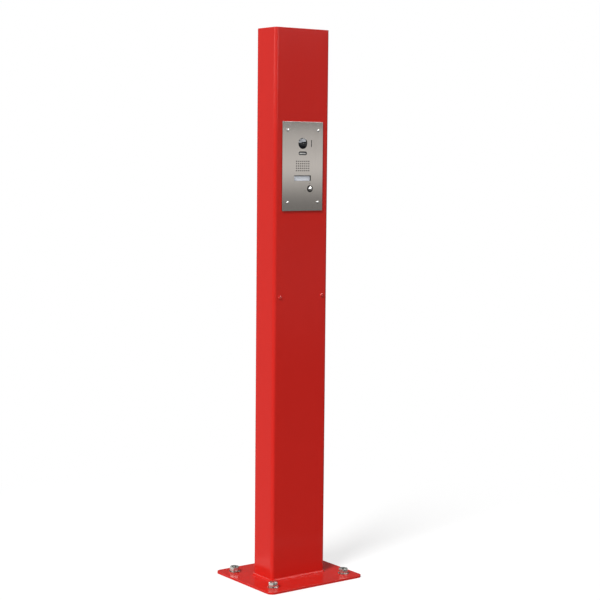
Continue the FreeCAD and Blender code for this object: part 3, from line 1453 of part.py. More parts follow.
def check(nodes):
    """Stop if an object failed, a cut removed nothing, or a piece isn't a sound solid."""
    for item in doc.Objects:
        if "Invalid" in item.State or "Error" in item.State:
            raise RuntimeError(f"{item.Label} failed: {item.State}")
        if item.TypeId in ("PartDesign::Pocket", "PartDesign::Groove"):
            before = item.BaseFeature.Shape.Volume
            if not item.Shape.Volume < before - 0.001:
                raise RuntimeError(f"{item.Label} cuts nothing")
    for node in nodes:
        shape = node.Shape
        if shape.isNull() or not shape.isValid() or not shape.Solids:
            raise RuntimeError(f"{node.Label} isn't a sound solid")


cradle_places = [(f"{end} * cradle_screw_spacing / 2", f"-{MODULE_BACK}", CAMERA_Z) for end in (-1, 1)]
housing_places = station_corners("standoff_spacing_x", "standoff_spacing_z", MODULE_BACK)
nodes = [
    base_plate(),
    post_tube(),
    top_cap(),
    base_weld(),
    anchor_studs(),
    anchor_sleeves(),
    anchor_washers(),
    anchor_nuts(),
    inner_bracket(),
    bracket_screws(),
    bracket_nuts(),
    box_carrier(),
    carrier_nuts(),
    box_screws(),
    back_box(),
    cable_grommet(),
    plate_gasket(),
    face_plate(),
    plate_screws(),
    plate_standoffs(),
    module_housing(),
    group("housing_screws", housing_screw(), housing_places, FACING_BACK),
    terminal_block(),
    terminal_screws(),
    circuit_board(),
    board_spacers(),
    board_screws(),
    processor(),
    capacitors(),
    camera_cradle(),
    group("cradle_screws", cradle_screw(), cradle_places, FACING_BACK),
    camera_ball(),
    lens_barrel(),
    camera_lens(),
    tilt_lever(),
    camera_dome(),
    led_window(),
    leds(),
    led_board(),
    led_header(),
    speaker_mesh(),
    speaker_frame(),
    speaker_cone(),
    speaker_magnet(),
    name_window(),
    name_holder(),
    name_card(),
    button_bezel(),
    button_nut(),
    call_button(),
    button_clip(),
    button_spring(),
    button_switch(),
    mic_boot(),
    microphone(),
    status_light(),
    status_led(),
]
doc.recompute()
check(nodes)
os.makedirs("parts", exist_ok=True)
for node in nodes:
    node.Shape.exportStep(f"parts/{node.Label}.step")
print(f"{len(nodes)} nodes written")
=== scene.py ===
import math

import bpy
from mathutils import Matrix, Vector


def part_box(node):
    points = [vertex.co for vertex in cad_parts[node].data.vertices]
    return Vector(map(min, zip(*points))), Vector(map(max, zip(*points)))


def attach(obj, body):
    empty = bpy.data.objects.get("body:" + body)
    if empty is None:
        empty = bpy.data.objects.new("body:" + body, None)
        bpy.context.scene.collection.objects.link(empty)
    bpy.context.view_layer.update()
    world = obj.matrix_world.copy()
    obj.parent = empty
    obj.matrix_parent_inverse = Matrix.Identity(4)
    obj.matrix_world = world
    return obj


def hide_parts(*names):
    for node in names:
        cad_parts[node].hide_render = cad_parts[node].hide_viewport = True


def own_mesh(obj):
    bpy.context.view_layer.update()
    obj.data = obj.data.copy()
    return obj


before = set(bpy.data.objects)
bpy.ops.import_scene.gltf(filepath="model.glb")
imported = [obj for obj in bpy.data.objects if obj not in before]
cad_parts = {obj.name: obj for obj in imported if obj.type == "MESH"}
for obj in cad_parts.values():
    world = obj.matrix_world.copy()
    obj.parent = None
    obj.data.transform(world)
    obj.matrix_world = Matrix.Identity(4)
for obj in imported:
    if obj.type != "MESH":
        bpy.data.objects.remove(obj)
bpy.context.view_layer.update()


# Base plate, tube and top. Cut steel plate and rectangular steel tube, welded together and ground,
# then powder-coated red in one go. The coat is satin, with the faint orange peel of baked powder,
# and the faces that look up hold a film of dust.
class Wire:
    """One socket of a material. Sums of wires, or of wires and numbers, add Math nodes."""

    def __init__(self, tree, socket=None):
        self.tree = tree
        self.socket = socket

    def node(self, kind, settings=None, inputs=None, output=0):
        """Any node: its settings are set first, then the values or wires of its sockets."""
        made = self.tree.nodes.new(kind)
        for key, setting in (settings or {}).items():
            setattr(made, key, setting)
        for key, given in (inputs or {}).items():
            if isinstance(given, Wire):
                self.tree.links.new(given.socket, made.inputs[key])
            else:
                made.inputs[key].default_value = given
        return Wire(self.tree, made.outputs[output] if len(made.outputs) else None)

    def maths(self, operation, first, second=0.0):
        return self.node("ShaderNodeMath", {"operation": operation}, {0: first, 1: second})

    def __add__(self, other):
        return self.maths("ADD", self, other)

    def __sub__(self, other):
        return self.maths("SUBTRACT", self, other)

    def __rsub__(self, other):
        return self.maths("SUBTRACT", other, self)

    def __mul__(self, other):
        return self.maths("MULTIPLY", self, other)

    __radd__ = __add__
    __rmul__ = __mul__

    def larger(self, other):
        return self.maths("MAXIMUM", self, other)

    def size(self):
        return self.maths("ABSOLUTE", self)

    def root(self):
        return self.maths("SQRT", self)

    def part(self, axis):
        """The X, Y or Z of a vector."""
        return self.node("ShaderNodeSeparateXYZ", {}, {"Vector": self}, output=axis)

    def channel(self):
        """One channel of a colour, as a number."""
        return self.node("ShaderNodeSeparateColor", {}, {"Color": self})

    def between(self, low, high):
        """0 at low, 1 at high and a smooth change between them. High may be the smaller one."""
        return self.node("ShaderNodeMapRange", {"interpolation_type": "SMOOTHSTEP"},
                         {"Value": self, "From Min": low, "From Max": high})

    def blend(self, first, second):
        """A colour that goes from first to second as this wire goes from 0 to 1."""
        return self.node("ShaderNodeMix", {"data_type": "RGBA"}, {0: self, 6: first, 7: second}, output=2)


def rgb(red, green, blue):
    return (red, green, blue, 1.0)


class Finish:
    """A material on object coordinates, which are the part's own, in metres."""

    def __init__(self, name, **plain):
        self.material = bpy.data.materials.new(name)
        self.material.use_nodes = True
        self.tree = self.material.node_tree
        self.shader = self.tree.nodes["Principled BSDF"]
        self.wire = Wire(self.tree)
        self.place = self.wire.node("ShaderNodeTexCoord", output="Object")
        for key, setting in plain.items():
            self.shader.inputs[key.replace("_", " ")].default_value = setting

    def set(self, socket, given):
        self.tree.links.new(given.socket, self.shader.inputs[socket])

    def along(self, axis):
        """How far along X, Y or Z a point lies."""
        return self.place.part(axis)

    def facing(self, axis):
        """How far the surface faces along X, Y or Z, from -1 to 1."""
        return self.wire.node("ShaderNodeNewGeometry", output="True Normal").part(axis)

    def noise(self, scale, detail=2.0, roughness=0.5, stretch=None):
        """Noise whose spots are about 1 / scale metres wide, drawn out where stretch is small."""
        place = self.place
        if stretch:
            place = self.wire.node("ShaderNodeMapping", {}, {"Vector": place, "Scale": stretch})
        return self.wire.node("ShaderNodeTexNoise", {},
                              {"Vector": place, "Scale": scale, "Detail": detail, "Roughness": roughness})

    def cells(self, scale, output):
        """Patches about 1 / scale metres wide: a Color for each, or the Distance from its middle."""
        return self.wire.node("ShaderNodeTexVoronoi", {}, {"Vector": self.place, "Scale": scale}, output=output)

    def relief(self, height, depth, strength):
        """A bump that is depth metres from low to high."""
        self.set("Normal", self.wire.node("ShaderNodeBump", {},
                                          {"Strength": strength, "Distance": depth, "Height": height}))


def dress(finish, *nodes):
    """Give pieces of the frame their finish."""
    for node in nodes:
        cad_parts[node].material_slots[0].material = finish.material


def powder_coat(name, mirroring):
    """Baked red powder, a little duller where dust lies on it."""
    made = Finish(name, IOR=1.45, Specular_IOR_Level=mirroring)
    specks = made.noise(38.0, 4.0, 0.6).between(0.42, 0.75)
    dust = made.facing("Z").between(0.6, 0.95) * (0.02 + 0.10 * specks)
    paint = made.noise(4.0, 3.0).blend(rgb(0.625, 0.0195, 0.0133), rgb(0.595, 0.0177, 0.0123))
    made.set("Base Color", dust.blend(paint, rgb(0.62, 0.105, 0.09)))
    made.set("Roughness", 0.14 + 0.04 * made.noise(22.0, 3.0) + 0.3 * dust)
    orange_peel = 0.65 * made.noise(330.0, 1.0) + 0.35 * made.noise(900.0, 2.0)
    made.relief(orange_peel, depth=0.000012, strength=0.6)
    return made


coat = powder_coat("red_powder_coat", mirroring=0.17)
dress(coat, "base_plate", "post_tube", "top_cap")


# Foot weld. A fillet weld run all round the foot of the tube on to the base plate, laid in short
# overlapping puddles whose crescents still show through the coat.
weld_low, weld_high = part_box("base_weld")
tube_low, tube_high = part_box("post_tube")
weld_leg = weld_high.x - tube_high.x
tube_corner = 0.009
foot_corner = tube_corner + weld_leg
corner_steps, side_cuts = 14, 90
weld_rings, first_slope, last_slope = 7, 10, 80
puddle, ripple, crescent = 0.0040, 0.00022, 0.9
sway, sway_pace = 0.00010, 61
smooth_rim = 0.02
no_gap = 0.000001


def clear_selection():
    if bpy.context.object and bpy.context.object.mode == "EDIT":
        bpy.ops.object.mode_set(mode="OBJECT")
    bpy.ops.object.select_all(action="DESELECT")


def take(piece):
    """Make one piece the only selected one."""
    clear_selection()
    piece.select_set(True)
    bpy.context.view_layer.objects.active = piece


def pick(mesh, test):
    """In edit mode, select only the edges whose two ends pass the test."""
    bpy.ops.mesh.select_mode(type="EDGE")
    bpy.ops.mesh.select_all(action="DESELECT")
    bpy.ops.object.mode_set(mode="OBJECT")
    for edge in mesh.edges:
        edge.select = test(*(mesh.vertices[number].co for number in edge.vertices))
    bpy.ops.object.mode_set(mode="EDIT")


def join_doubles():
    bpy.ops.mesh.select_all(action="SELECT")
    bpy.ops.mesh.remove_doubles(threshold=no_gap)


def close_mesh():
    """Merge doubles and turn all faces outwards, then leave edit mode."""
    join_doubles()
    bpy.ops.mesh.normals_make_consistent(inside=False)
    bpy.ops.object.mode_set(mode="OBJECT")
    return bpy.context.object


def settle(piece, name, finish, body, slot, *stands_for, angle=35):
    """Put a piece's place into its mesh and give it its name, material and body. The slot is not used."""
    take(piece)
    bpy.ops.object.transform_apply(location=True, rotation=True, scale=True)
    bpy.ops.object.shade_smooth_by_angle(angle=math.radians(angle))
    piece.name = piece.data.name = name
    piece.data.materials.clear()
    piece.data.materials.append(finish.material)
    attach(piece, body)
    if stands_for:
        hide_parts(*stands_for)


clear_selection()
bpy.ops.mesh.primitive_plane_add(size=1, location=(0, 0, weld_low.z))
bpy.ops.transform.resize(value=(weld_high.x - weld_low.x, weld_high.y - weld_low.y, 1))
bpy.ops.object.transform_apply(location=True, rotation=False, scale=True)
bpy.ops.object.mode_set(mode="EDIT")
bpy.ops.mesh.select_mode(type="VERT")
bpy.ops.mesh.bevel(offset=foot_corner, segments=corner_steps, affect="VERTICES")
bead = bpy.context.object
pick(bead.data, lambda one, two: (one - two).length > foot_corner)
bpy.ops.mesh.subdivide(number_cuts=side_cuts)
bpy.ops.mesh.select_mode(type="FACE")
bpy.ops.mesh.select_all(action="SELECT")
reach = math.cos(math.radians(first_slope)) - math.cos(math.radians(last_slope))
for ring in range(weld_rings):
    start, end = [math.radians(first_slope + (last_slope - first_slope) * step / weld_rings)
                  for step in (ring, ring + 1)]
    bpy.ops.mesh.inset(thickness=weld_leg * (math.cos(start) - math.cos(end)) / reach,
                       depth=weld_leg * (math.sin(end) - math.sin(start)) / reach)
bpy.ops.mesh.delete(type="ONLY_FACE")
weld_top = weld_low.z + weld_leg
pick(bead.data, lambda one, two: min(one.z, two.z) > weld_top - 10 * no_gap)
bpy.ops.mesh.extrude_region_move(TRANSFORM_OT_translate={"value": (0, 0, -weld_leg)})
bpy.ops.mesh.select_mode(type="EDGE")
join_doubles()
bpy.ops.mesh.select_all(action="DESELECT")
bpy.ops.mesh.select_non_manifold(extend=False)
bpy.ops.mesh.bridge_edge_loops()
close_mesh()
half_x, half_y = weld_high.x - foot_corner, weld_high.y - foot_corner


def curve_middle(x, y):
    """The point inside the tube that a point of the bead faces away from."""
    return max(-half_x, min(half_x, x)), max(-half_y, min(half_y, y))


def along_foot(x, y):
    """How far round the foot of the tube a point lies, from the front right corner."""
    near_x, near_y = curve_middle(x, y)
    turn = math.atan2(y - near_y, x - near_x) % (2 * math.pi)
    quarter = min(3, int(turn / (math.pi / 2) + 0.5))
    straight = (near_y + half_y, 2 * half_y + half_x - near_x,
                3 * half_y + 2 * half_x - near_y, 4 * half_y + 3 * half_x + near_x)[quarter]
    return straight + foot_corner * turn


for vertex in bead.data.vertices:
    x, y, z = vertex.co
    outward = Vector((x, y, 0)) - Vector((*curve_middle(x, y), 0))
    height = (z - weld_low.z) / weld_leg
    width = (outward.length - tube_corner) / weld_leg
    if smooth_rim < height < 1 - smooth_rim and width > smooth_rim:
        way = along_foot(x, y)
        phase = way / puddle - crescent * (1 - (2 * height - 1) ** 2)
        crest = ripple * abs(math.sin(math.pi * phase)) - sway * math.sin(sway_pace * way)
        vertex.co += (outward.normalized() + Vector((0, 0, 1))) * crest
settle(bead, "foot_weld", coat, "post", "red_coat", "base_weld", angle=60)


# Cross bracket. A channel folded from hot-dip galvanised sheet behind the front wall, with slots for
# cable ties. Its two socket screws pass through the wall and were coated with the post, and on their
# small domed heads the powder has flowed out thin and glossy.
def turned(profile, sides=48):
    """Turn an outline of (radius, height) pairs about the z axis, ring by ring."""
    clear_selection()
    closed_start = profile[0][0] == 0
    first = 1 if closed_start else 0
    radius, height = profile[first]
    bpy.ops.mesh.primitive_circle_add(vertices=sides, radius=radius, location=(0, 0, height),
                                      fill_type="TRIFAN" if closed_start else "NOTHING")
    bpy.ops.object.transform_apply(location=True, rotation=False, scale=False)
    bpy.ops.object.mode_set(mode="EDIT")
    bpy.ops.mesh.select_mode(type="EDGE")
    if closed_start:
        bpy.ops.mesh.region_to_loop()
    for new_radius, new_height in profile[first + 1:]:
        bpy.ops.mesh.extrude_region_move(TRANSFORM_OT_translate={"value": (0, 0, new_height - height)})
        if new_radius == 0:
            bpy.ops.mesh.merge(type="CENTER")
            break
        share = new_radius / radius
        bpy.ops.transform.resize(value=(share, share, 1), center_override=(0, 0, new_height))
        radius, height = new_radius, new_height
    return close_mesh()


def combine(piece, other, operation="DIFFERENCE"):
    """Cut the other piece out of this one, or keep only what both fill."""
    take(piece)
    bpy.ops.object.modifier_add(type="BOOLEAN")
    change = piece.modifiers[-1]
    change.operation = operation
    change.solver = "EXACT"
    change.object = other
    bpy.ops.object.modifier_apply(modifier=change.name)
    bpy.data.objects.remove(other)
    return piece


def soften(piece, width, segments=2, angle=30):
    """Round the sharp edges a little."""
    take(piece)
    bpy.ops.object.modifier_add(type="BEVEL")
    change = piece.modifiers[-1]
    change.width = width
    change.segments = segments
    change.limit_method = "ANGLE"
    change.angle_limit = math.radians(angle)
    change.harden_normals = False
    bpy.ops.object.modifier_apply(modifier=change.name)
    return piece


def socket_screw(head, rise, shank, length, flats):
    """A domed screw with a hexagon socket, upright with its seat at the origin."""
    radius, rim, edge, chamfer = head / 2, rise * 0.22, rise * 0.04, shank * 0.1
    dome = [(radius * math.sin(math.radians(turn)), rim + (rise - rim) * math.cos(math.radians(turn)))
            for turn in (84, 76, 67, 58, 49, 40, 31, 22, 13)]
    body = turned([(0, -length), (shank / 2 - chamfer, -length), (shank / 2, -length + chamfer), (shank / 2, 0),
                   (radius - edge, 0), (radius, edge), (radius, rim)] + dome + [(0, rise)])
    corner, above, bottom, point = flats / math.sqrt(3), rise * 1.4, rise - rise * 0.62, flats * 0.16
    key = turned([(0, bottom - point), (corner, bottom), (corner, above), (0, above)], sides=6)
    return soften(combine(body, key), rise * 0.03, angle=40)


def copies(piece, spots, turns=None):
    """Set the piece at the first spot and a copy of it at each of the others."""
    made = [piece]
    for _ in spots[1:]:
        take(piece)
        bpy.ops.object.duplicate()
        made.append(bpy.context.object)
    for number, (copy, spot) in enumerate(zip(made, spots)):
        copy.location = spot
        if turns:
            copy.rotation_euler = turns[number]
    return made


def settle_all(pieces, name, *given, angle=35):
    """Settle like pieces, numbered from 1."""
    for number, piece in enumerate(pieces, start=1):
        settle(piece, f"{name}_{number}", *given, angle=angle)


def screwed_in(*turns):
    """Lay upright screws into the front face, each turned on by some degrees about its own axis."""
    return [(math.radians(90), math.radians(turn), 0) for turn in turns]


galvanised = Finish("galvanised_sheet", Metallic=1.0)
spangle_pace = 130.0
spangle = galvanised.cells(spangle_pace, "Color").channel()
galvanised.set("Base Color", spangle.blend(rgb(0.44, 0.46, 0.47), rgb(0.60, 0.62, 0.63)))
galvanised.set("Roughness", 0.30 + 0.22 * spangle + 0.10 * galvanised.noise(60.0, 3.0))
galvanised.relief(galvanised.cells(spangle_pace, "Distance"), depth=0.00003, strength=0.5)
dress(galvanised, "inner_bracket")

zinc = Finish("zinc_plate", Metallic=1.0)
bloom = zinc.noise(170.0, 4.0, 0.6)
zinc.set("Base Color", bloom.blend(rgb(0.46, 0.47, 0.44), rgb(0.62, 0.63, 0.60)))
zinc.set("Roughness", 0.18 + 0.12 * bloom + 0.05 * zinc.noise(1500.0, 1.0))
zinc.relief(zinc.noise(2400.0, 2.0) + 0.6 * zinc.noise(420.0, 2.0), depth=0.00002, strength=0.6)
dress(zinc, "bracket_nuts")

screw_low, screw_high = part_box("bracket_screws")
bracket_head, bracket_rise, bracket_shank, bracket_key = 0.0105, 0.0033, 0.006, 0.004
wall_front = tube_low.y
screw_x = screw_high.x - bracket_head / 2
bracket_spots = [(side * screw_x, wall_front, (screw_low.z + screw_high.z) / 2) for side in (-1, 1)]
bracket_screw = socket_screw(bracket_head, bracket_rise, bracket_shank, screw_high.y - wall_front, bracket_key)
screw_coat = powder_coat("red_coat_on_screws", mirroring=0.8)
settle_all(copies(bracket_screw, bracket_spots, screwed_in(12, -23)), "bracket_screw",
           screw_coat, "post", "red_coat", "bracket_screws", angle=30)


# Back box and its carrier. Folded galvanised sheet bolted inside the tube, with a closed rubber
# grommet for the cable in its floor.
def shade(colour, share, lift=0.0):
    """A colour made darker or paler by a share."""
    return rgb(*(min(1.0, value * share + lift) for value in colour))


def moulded(name, colour, roughness, grain=0.5, pits=2600.0, **plain):
    """Moulded plastic or rubber: a fine even grain, and slow swings in colour from the melt's flow."""
    made = Finish(name, **plain)
    flow = made.noise(45.0, 3.0)
    texture = made.noise(pits, 2.0)
    made.set("Base Color", (0.6 * flow + 0.4 * texture).blend(shade(colour, 0.88), shade(colour, 1.18, 0.004)))
    made.set("Roughness", roughness - 0.05 + 0.10 * flow)
    made.relief(texture, depth=0.00003, strength=grain)
    return made


dress(galvanised, "back_box", "box_carrier")
dress(zinc, "carrier_nuts", "box_screws")
dress(moulded("black_rubber", (0.021, 0.021, 0.021), 0.62, grain=0.6),
      "cable_grommet", "plate_gasket", "mic_boot")


# Casing and electronics. A black moulded casing hung on the plate by brass spacers, with the board,
# its processor and capacitors, and a pluggable terminal block at the back.
dress(moulded("black_plastic", (0.026, 0.026, 0.029), 0.42),
      "module_housing", "camera_cradle", "tilt_lever", "led_header", "name_holder", "button_switch")
dress(moulded("green_plastic", (0.03, 0.25, 0.08), 0.38), "terminal_block")
dress(moulded("chip_resin", (0.020, 0.020, 0.022), 0.48, grain=0.8, pits=5200.0), "processor")
dress(moulded("capacitor_sleeve", (0.030, 0.036, 0.052), 0.22, grain=0.15), "capacitors")


def machined(name, colour, roughness, marks=(1, 1, 14)):
    """Turned or drawn metal: fine tool marks, drawn out where marks is small, and a thin dulling film."""
    made = Finish(name, Metallic=1.0)
    lines = made.noise(900.0, 2.0, 0.6, marks)
    film = made.noise(90.0, 3.0)
    made.set("Base Color", (0.5 * lines + 0.5 * film).blend(shade(colour, 0.86), shade(colour, 1.12)))
    made.set("Roughness", roughness - 0.06 + 0.12 * film + 0.05 * lines)
    made.relief(lines, depth=0.00001, strength=0.5)
    return made


dress(machined("turned_brass", (0.70, 0.48, 0.19), 0.28), "plate_standoffs", "board_spacers")
dress(machined("small_steel", (0.46, 0.46, 0.45), 0.30),
      "housing_screws", "terminal_screws", "board_screws", "cradle_screws", "speaker_frame")
board = Finish("board_green", IOR=1.5, Coat_Weight=0.4, Coat_Roughness=0.15)
tracks = board.wire.node("ShaderNodeTexBrick", {"offset": 0.5},
                         {"Vector": board.place, "Scale": 210.0, "Mortar Size": 0.03, "Mortar": rgb(1, 1, 1),
                          "Color1": rgb(0, 0, 0), "Color2": rgb(0.2, 0.2, 0.2)}).channel()
board.set("Base Color", tracks.blend(rgb(0.012, 0.105, 0.045), rgb(0.030, 0.210, 0.085)))
board.set("Roughness", 0.28 + 0.10 * board.noise(70.0, 3.0))
board.relief(tracks, depth=0.00003, strength=0.8)
dress(board, "circuit_board", "led_board")


# Camera. A glossy black ball on two trunnions in a moulded cradle, with a black anodised lens barrel
# and a coated lens, behind a clear domed window. The lever on its axle ends in the plate's slit.
def clear(name, tint, body, gloss, wipe=0.05):
    """Clear plastic or glass: how much its tint covers, how its surface mirrors, and faint wipe marks."""
    made = Finish(name, IOR=gloss)
    marks = made.noise(55.0, 4.0, 0.6, (1, 1, 3)).between(0.45, 0.9)
    made.set("Base Color", marks.blend(rgb(*tint), shade(tint, 1.04, 0.002)))
    made.set("Alpha", body + 0.04 * marks)
    made.set("Roughness", 0.04 + wipe * marks)
    return made


dress(moulded("ball_black", (0.012, 0.012, 0.015), 0.16, grain=0.05), "camera_ball")
dress(machined("barrel_black", (0.050, 0.050, 0.056), 0.34, (1, 14, 1)), "lens_barrel")
lens_glass = Finish("lens_glass", IOR=1.6, Coat_Weight=1.0, Coat_Roughness=0.02)
coating = lens_glass.noise(160.0, 1.0)
lens_glass.set("Base Color", coating.blend(rgb(0.010, 0.010, 0.030), rgb(0.018, 0.010, 0.034)))
lens_glass.set("Roughness", 0.03 + 0.03 * lens_glass.noise(300.0, 2.0))
dress(lens_glass, "camera_lens")
dress(clear("dome_window", (0.006, 0.007, 0.010), body=0.82, gloss=1.58), "camera_dome")


# Lamp under the camera. Five clear diodes on a small board, behind a milky moulded window in the
# plate. A black band round the window's edge is painted shade of its recess, set a little low so
# that it is widest at the top.
lamp_low, lamp_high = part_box("led_window")
lamp_half, lamp_radius, shade_rim_width, shade_rim_drop = 0.01375, 0.005, 0.0034, 0.0005
shade_rim_inner, shade_rim_outer = -0.0002, 0.0003
diffuser = Finish("lamp_diffuser", Specular_IOR_Level=0.2)
beyond = (diffuser.along("X").size() - (lamp_half - lamp_radius)).larger(0)
above = (diffuser.along("Z") - ((lamp_low.z + lamp_high.z) / 2 - shade_rim_drop)).size()
off_clear = (beyond * beyond + above * above).root() - (lamp_radius - shade_rim_width)
# Painted shade: a black band round the window's edge, shifted down, stands in for the shade of its recess.
painted_shade_rim = off_clear.between(shade_rim_inner, shade_rim_outer)
milk = diffuser.noise(1800.0, 2.0).blend(rgb(0.54, 0.53, 0.51), rgb(0.61, 0.60, 0.58))
diffuser.set("Base Color", painted_shade_rim.blend(milk, rgb(0.012, 0.012, 0.012)))
diffuser.set("Roughness", 0.30 + 0.10 * diffuser.noise(45.0, 3.0))
dress(diffuser, "led_window")
dress(moulded("clear_resin", (0.80, 0.77, 0.58), 0.14, grain=0.1), "leds", "status_led")


# Loudspeaker. A pressed steel basket with a paper cone and a ferrite magnet, behind the rows of small
# holes in the plate. A woven black cloth between them keeps the dust out.
cloth = Finish("speaker_cloth", Sheen_Weight=0.15)


def threads(direction):
    """Threads side by side across X or Z, a little over half a millimetre apart."""
    return cloth.wire.node("ShaderNodeTexWave", {"bands_direction": direction},
                           {"Vector": cloth.place, "Scale": 500.0, "Distortion": 0.4}).channel()


weave = threads("X") * threads("Z")
cloth.set("Base Color", weave.blend(rgb(0.010, 0.010, 0.010), rgb(0.050, 0.050, 0.050)))
cloth.set("Roughness", 0.80 + 0.15 * weave)
cloth.relief(weave, depth=0.00012, strength=0.9)
dress(cloth, "speaker_mesh")
dress(moulded("pressed_paper", (0.050, 0.044, 0.040), 0.88, grain=0.9, pits=1400.0), "speaker_cone")
dress(moulded("ferrite", (0.080, 0.078, 0.076), 0.66, grain=0.9, pits=900.0), "speaker_magnet")


# Name window. A clear pane with polished edges at the bottom of its black well, and under it a smooth
# card with rounded corners, cut short at its top so the black holder shows there as painted shade,
# and given a faint bluish-white glow as painted light, since the card is no lamp.
pane_low, pane_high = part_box("name_window")
pane_gap, pane_edge = 0.00006, 0.00025
pane_high.y -= pane_gap
clear_selection()
bpy.ops.mesh.primitive_cube_add(size=1, location=(pane_low + pane_high) / 2)
bpy.ops.transform.resize(value=pane_high - pane_low)
pane = bpy.context.object
bpy.ops.object.transform_apply(location=True, rotation=False, scale=True)
pane_clear = clear("name_pane", (0.85, 0.88, 0.96), body=0.10, gloss=1.49, wipe=0.03)
settle(soften(pane, pane_edge, segments=3), "name_pane", pane_clear, "post", "name_glass", "name_window")

card_low, card_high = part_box("name_card")
# Painted shade: the card stops short of the well's top, so the black holder shows as a dark band where shade
# falls.
card_shade_drop, card_corner, card_steps = 0.0026, 0.0012, 6
card_thick = card_high.y - card_low.y
card_high.z -= card_shade_drop
clear_selection()
bpy.ops.mesh.primitive_plane_add(
    size=1, rotation=(math.radians(90), 0, 0),
    location=((card_low.x + card_high.x) / 2, card_low.y, (card_low.z + card_high.z) / 2))
bpy.ops.transform.resize(value=(card_high.x - card_low.x, 1, card_high.z - card_low.z))
card = bpy.context.object
bpy.ops.object.transform_apply(location=True, rotation=True, scale=True)
bpy.ops.object.mode_set(mode="EDIT")
bpy.ops.mesh.select_mode(type="VERT")
bpy.ops.mesh.select_all(action="SELECT")
bpy.ops.mesh.bevel(offset=card_corner, segments=card_steps, affect="VERTICES")
bpy.ops.mesh.select_all(action="SELECT")
bpy.ops.mesh.extrude_region_move(TRANSFORM_OT_translate={"value": (0, card_thick, 0)})
close_mesh()
# Painted light: the card's emission makes it glow, though nothing behind it is a lamp.
card_paper = moulded("card_paper", (0.86, 0.89, 0.96), 0.70, grain=0.4, pits=1500.0,
                     Emission_Color=rgb(0.85, 0.9, 1.0), Emission_Strength=0.14)
settle(card, "name_slip", card_paper, "post", "card_paper", "name_card")


# Call button. A domed stainless button in a turned dark bezel, held by a nut behind the plate. A clip
# keeps the button in, a spring pushes it out, and its stem works a switch.
even_marks = (1, 1, 1)
dress(machined("polished_stainless", (0.52, 0.51, 0.49), 0.15, even_marks), "call_button")
dress(machined("dark_bezel", (0.035, 0.034, 0.033), 0.20, even_marks), "button_bezel")
dress(zinc, "button_nut")
dress(machined("spring_steel", (0.50, 0.50, 0.50), 0.25), "button_spring", "button_clip")
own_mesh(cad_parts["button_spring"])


# Microphone and status light. An aluminium capsule in a rubber boot behind a pinhole, and a clear
# light pipe from a diode on the board.
dress(machined("drawn_aluminium", (0.66, 0.66, 0.67), 0.30), "microphone")
dress(moulded("light_pipe", (0.035, 0.040, 0.040), 0.16, grain=0.05, IOR=1.49), "status_light")


# Face plate. Stainless sheet, laser-cut and brushed upright, with four domed socket screws at its
# corners. The walls of its openings stay dark from the cut.
plate_low, plate_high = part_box("face_plate")
plate_middle = (plate_low + plate_high) / 2
plate_rim, rim_fade = 0.001, 0.0002
stainless = Finish("brushed_stainless", Metallic=1.0, Anisotropic=1.0)
hair = stainless.noise(1.0, 3.0, 0.7, (5200.0, 5200.0, 45.0))
band = stainless.noise(1.0, 2.0, 0.5, (320.0, 320.0, 9.0))
past_side = stainless.along("X").size() - (plate_high.x - plate_rim)
past_end = (stainless.along("Z") - plate_middle.z).size() - (plate_high.z - plate_middle.z - plate_rim)
inside = past_side.between(rim_fade, 0) * past_end.between(rim_fade, 0)
cut = inside * stainless.facing("Y").size().between(0.7, 0.3)
brushed = (0.6 * hair + 0.4 * band).blend(rgb(0.47, 0.45, 0.425), rgb(0.56, 0.535, 0.51))
stainless.set("Base Color", cut.blend(brushed, rgb(0.022, 0.020, 0.018)))
stainless.set("Roughness", 0.11 + 0.05 * hair + 0.02 * band + 0.3 * cut)
stainless.relief(hair, depth=0.000006, strength=0.5)
dress(stainless, "face_plate")

heads_low, heads_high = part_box("plate_screws")
plate_head, plate_rise, plate_shank, plate_key = 0.008, 0.0024, 0.004, 0.0025
head_x = heads_high.x - plate_head / 2
head_heights = (heads_low.z + plate_head / 2, heads_high.z - plate_head / 2)
plate_spots = [(side * head_x, plate_low.y, z) for side in (-1, 1) for z in head_heights]
plate_screw = socket_screw(plate_head, plate_rise, plate_shank, heads_high.y - plate_low.y, plate_key)
screw_steel = machined("screw_steel", (0.50, 0.49, 0.47), 0.22, even_marks)
settle_all(copies(plate_screw, plate_spots, screwed_in(7, -19, 26, -4)), "plate_screw",
           screw_steel, "post", "polished_stainless", "plate_screws", angle=30)


# Ground anchors. Zinc-plated M16 expansion anchors: a threaded stud, a thick washer and a hexagon nut
# with turned corners, each pulled up at its own angle.
washer_low, washer_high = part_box("anchor_washers")
washer_radius, washer_hole = 0.015, 0.0085
anchor_x, anchor_y = washer_high.x - washer_radius, washer_high.y - washer_radius


def anchor_spots(z):
    return [(x, y, z) for x in (-anchor_x, anchor_x) for y in (-anchor_y, anchor_y)]


thick = washer_high.z - washer_low.z
rim = thick * 0.16
washer = turned([(washer_hole + rim, 0), (washer_radius - rim, 0), (washer_radius - rim * 0.3, rim * 0.3),
                 (washer_radius, rim), (washer_radius, thick - rim * 0.5), (washer_radius - rim * 0.5, thick),
                 (washer_hole + rim, thick), (washer_hole + rim * 0.3, thick - rim * 0.3),
                 (washer_hole, thick - rim), (washer_hole, rim), (washer_hole + rim, 0)], sides=64)
settle_all(copies(washer, anchor_spots(washer_low.z)), "anchor_washer",
           zinc, "post", "zinc_steel", "anchor_washers")

